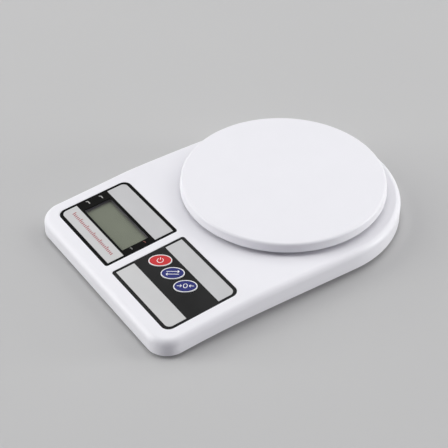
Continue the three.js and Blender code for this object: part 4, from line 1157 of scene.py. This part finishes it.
def key_cap(x):
    rings = [
        oval(-KEY_FLANGE, flange_top - KEY_FLANGE_DEPTH, x),
        oval(-KEY_FLANGE, flange_top, x),
        oval(0, flange_top, x),
        oval(0, -RING_DEPTH, x),
        oval(KEY_INNER, -RING_DEPTH, x),
    ]
    rings += [oval(KEY_INNER + inset, KEY_EDGE_RISE + rise, x) for inset, rise in KEY_EDGE]
    for i in range(1, KEY_CROWN_STEPS):
        share = i / KEY_CROWN_STEPS
        inset = KEY_CROWN + (KEY_SHORT - KEY_CROWN) * share * KEY_CROWN_REACH
        rings.append(oval(inset, crown(share), x))
    stem = rod(KEY_STEM_RADIUS, PLUNGER_TOP + SEAT_GAP, flange_top - KEY_FLANGE_DEPTH / 2, x, KEY_Y)
    return on_deck(combine(skin(rings), [stem]))


def key_ring(x):
    """A ring, rounded on the outside and bevelled on the inside."""
    bottom, top = SEAT_GAP - RING_DEPTH, RING_RISE
    round_, bevel = RING_OUTER_ROUND, RING_INNER_BEVEL
    section = [(0, bottom), (0, top - round_), (round_ / 4, top - round_ / 3), (round_, top)]
    section += [(RING_WIDTH - bevel, top), (RING_WIDTH, top - bevel), (RING_WIDTH, bottom)]
    rings = [oval(RING_TRIM + inset, height, x) for inset, height in section]
    return on_deck(skin(rings, closed=True))


KEY_NAMES = ("power", "unit", "tare")
for name, x, slot in zip(KEY_NAMES, KEY_XS, ("red_key", "blue_key", "blue_key")):
    piece(f"{name}_key_cap", key_cap(x), slot, f"{name}_key", [f"{name}_button"])
    piece(f"{name}_key_ring", key_ring(x), "inner_plastic", f"{name}_key", [f"{name}_button_ring"],
          material=white_print)


# Printed marks: ticks on the display's band, a row of ticks on its strip and a sign on each key
def on_key(along, across):
    """Height of a key's crowned top, whose inset at a place is found by halving."""
    low, high = KEY_CROWN, KEY_SHORT - SLIVER
    for _ in range(KEY_HALVINGS):
        inset = (low + high) / 2
        if (along / (KEY_LONG - inset)) ** 2 + (across / (KEY_SHORT - inset)) ** 2 < 1:
            low = inset
        else:
            high = inset
    share = (low - KEY_CROWN) / (KEY_SHORT - KEY_CROWN) / KEY_CROWN_REACH
    return crown(min(share, 1 - 1 / KEY_CROWN_STEPS))


def prints(paths, width, height):
    return merged(*(ribbon(path, width, height) for path in paths))


def arrow(start, end):
    """Paths of an arrow's shaft and of its head."""
    start, end = Vector(start), Vector(end)
    way = (end - start).normalized() * ARROW_HEAD
    side = Vector((-way.y, way.x))
    return [line(start, end), line(end - way + side, end), line(end - way - side, end)]


def tick(place, half, flag):
    """Paths of a small tick along the band with a flag at its far end."""
    x, y = place
    far = Vector((x - half, y))
    return [line(far, (x + half, y), 1), line(far, far - Vector(FLAG_WAY) * flag, 1)]


def tick_row():
    """Paths of a leaning row of ticks, the first of each group a long one."""
    rows = []
    for i in range(ROW_COUNT):
        x = ROW_X + i * ROW_PITCH
        rise = ROW_SHORT if i % ROW_GROUP else ROW_LONG
        rows.append(line((x, ROW_Y), (x - ROW_LEAN, ROW_Y + rise), 1))
    return rows


far_ticks = tick(FAR_TICKS[0], *LONG_TICK) + tick(FAR_TICKS[1], *LONG_TICK)
for name, paths, width, level, slot, ink in (
    ("display_band_ticks", far_ticks, 0.7, film_top, "white_shell", grey_print),
    ("display_band_near_tick", tick(NEAR_TICK, *SHORT_TICK), 0.6, film_top, "white_shell", dim_print),
    ("display_band_red_tick", tick(RED_TICK, *SHORT_TICK), 0.55, film_top, "red_key", red_mark),
    ("display_strip_ticks", tick_row(), 0.75, 0, "red_key", pale_red),
):
    piece(name, on_deck(prints(paths, width, lambda x, y: level)), slot, "housing", material=ink)

power_sign = [
    [(x, y - POWER_DROP) for x, y in loop(POWER_RADIUS, POWER_RADIUS, *POWER_TURN)],
    line((0, POWER_LOW), (0, POWER_HIGH)),
]
unit_sign = arrow((-UNIT_REACH, UNIT_OFFSET), (UNIT_REACH, UNIT_OFFSET))
unit_sign += arrow((UNIT_REACH, -UNIT_OFFSET), (-UNIT_REACH, -UNIT_OFFSET))
tare_sign = arrow((-TARE_TAIL, 0), (-TARE_TIP, 0)) + arrow((TARE_TAIL, 0), (TARE_TIP, 0))
tare_sign.append(loop(*TARE_ZERO))
for name, x, paths in zip(KEY_NAMES, KEY_XS, (power_sign, unit_sign, tare_sign)):
    turned = Matrix.Translation((x, KEY_Y, 0)) @ Matrix.Rotation(KEY_TURN, 4, "Z")
    piece(f"{name}_key_sign", on_deck(placed(prints(paths, SIGN_WIDTH, on_key), turned)), "white_shell",
          f"{name}_key", material=white_print)

# Carried-over solids take the look of their slot
slots = {row["node"]: row["material_slot"] for row in frame["record"]["subparts"]}
bezel_grey = textured("bezel_grey", (0.185, 0.174, 0.2), 0.4, height=0.002)
for name, node in frame["nodes"].items():
    node.data.materials.clear()
    node.data.materials.append(bezel_grey if name == "display_bezel" else looks[slots[name]])

# Floor
FLOOR_HALF = 1500
FLOOR_CLOUDS = 300
FLOOR_COLOUR = (0.542, 0.54, 0.54)
FLOOR_DARK = (0.537, 0.535, 0.535)
FLOOR_LIGHT = (0.547, 0.545, 0.545)
corners = [(x * FLOOR_HALF, y * FLOOR_HALF, 0) for x, y in ((-1, -1), (1, -1), (1, 1), (-1, 1))]
floor = placed(mesh_of(corners, [(0, 1, 2, 3)]), Matrix.Scale(MM, 4))
floor_object = add_object("floor", floor)
floor_look, tree, bsdf = shader("floor_paper", FLOOR_COLOUR, 0.9)
feed(bsdf, Base_Color=clouded(tree, FLOOR_CLOUDS, FLOOR_DARK, FLOOR_LIGHT))
floor.materials.append(floor_look)

# World: a faint fill, and a grey backdrop for the camera, reflections and clear pieces
FILL_COLOUR = (0.7, 0.63, 1.0)
FILL_STRENGTH = 0.09
BACKDROP_COLOUR = (0.56, 0.56, 0.56)
world = bpy.data.worlds.new("studio")
bpy.context.scene.world = world
world.use_nodes = True
tree = world.node_tree
light_fill = feed(tree.nodes["Background"], Color=(*FILL_COLOUR, 1), Strength=FILL_STRENGTH)
backdrop = add_node(tree, "Background", Color=(*BACKDROP_COLOUR, 1))
rays = add_node(tree, "LightPath")
seen = rays.outputs["Is Camera Ray"]
for kind in ("Is Glossy Ray", "Is Transmission Ray"):
    seen = maths(tree, "MAXIMUM", seen, rays.outputs[kind])
sky = add_node(tree, "MixShader", Fac=seen)
for i, light in enumerate((light_fill, backdrop), 1):
    tree.links.new(light.outputs["Background"], sky.inputs[i])
feed(tree.nodes["World Output"], Surface=sky.outputs["Shader"])

# Soft boxes round the object, in metres: turn from the camera's side, height, size and power
AZIMUTH, ELEVATION, ROLL = radians(55.352), radians(40.037), radians(0.306)
LAMP_DISTANCE = 2.4
LAMP_COLOUR = (0.99, 1.0, 0.972)
LAMPS = (
    ("left_low", 270, 8, 0.6, 15.4),
    ("left_middle", 270, 35, 1.4, 23.4),
    ("right_low", 90, 8, 0.6, 21.9),
    ("right_middle", 90, 35, 1.4, 14.2),
    ("right_high", 90, 55, 1.4, 4.7),
    ("rear_left", 225, 35, 1.4, 7.6),
    ("rear_right", 135, 35, 1.4, 9.5),
    ("rear_high", 180, 60, 1.4, 3.0),
    ("top", 0, 90, 1.4, 13.9),
)


def direction(turn, height):
    """The way to a place at that height, turned anticlockwise from the camera's side."""
    heading = AZIMUTH - pi / 2 + turn
    return Vector((cos(height) * cos(heading), cos(height) * sin(heading), sin(height)))


for name, turn, height, size, power in LAMPS:
    data = bpy.data.lights.new(name, "AREA")
    data.shape = "SQUARE"
    data.size = size
    data.energy = power
    data.color = LAMP_COLOUR
    lamp = add_object(name, data)
    place = direction(radians(turn), radians(height))
    lamp.location = place * LAMP_DISTANCE
    lamp.rotation_euler = (-place).to_track_quat("-Z", "Y").to_euler()

# Camera
TARGET = Vector((-8.95, -9.28, 2.0)) * MM
DISTANCE = 923.3 * MM
FOCAL_LENGTH = 104.34
SENSOR_WIDTH = 36
back = direction(0, ELEVATION)
right = Vector((0, 0, 1)).cross(back).normalized()
up = back.cross(right)
turned_right = right * cos(ROLL) + up * sin(ROLL)
turned_up = up * cos(ROLL) - right * sin(ROLL)
camera_data = bpy.data.cameras.new("camera")
camera_data.sensor_width = SENSOR_WIDTH
camera_data.lens = FOCAL_LENGTH
camera = add_object("camera", camera_data)
camera.matrix_world = Matrix([
    *((turned_right[i], turned_up[i], back[i], TARGET[i] + back[i] * DISTANCE) for i in range(3)),
    (0, 0, 0, 1),
])
bpy.context.scene.camera = camera
bpy.context.scene.view_settings.view_transform = "Standard"
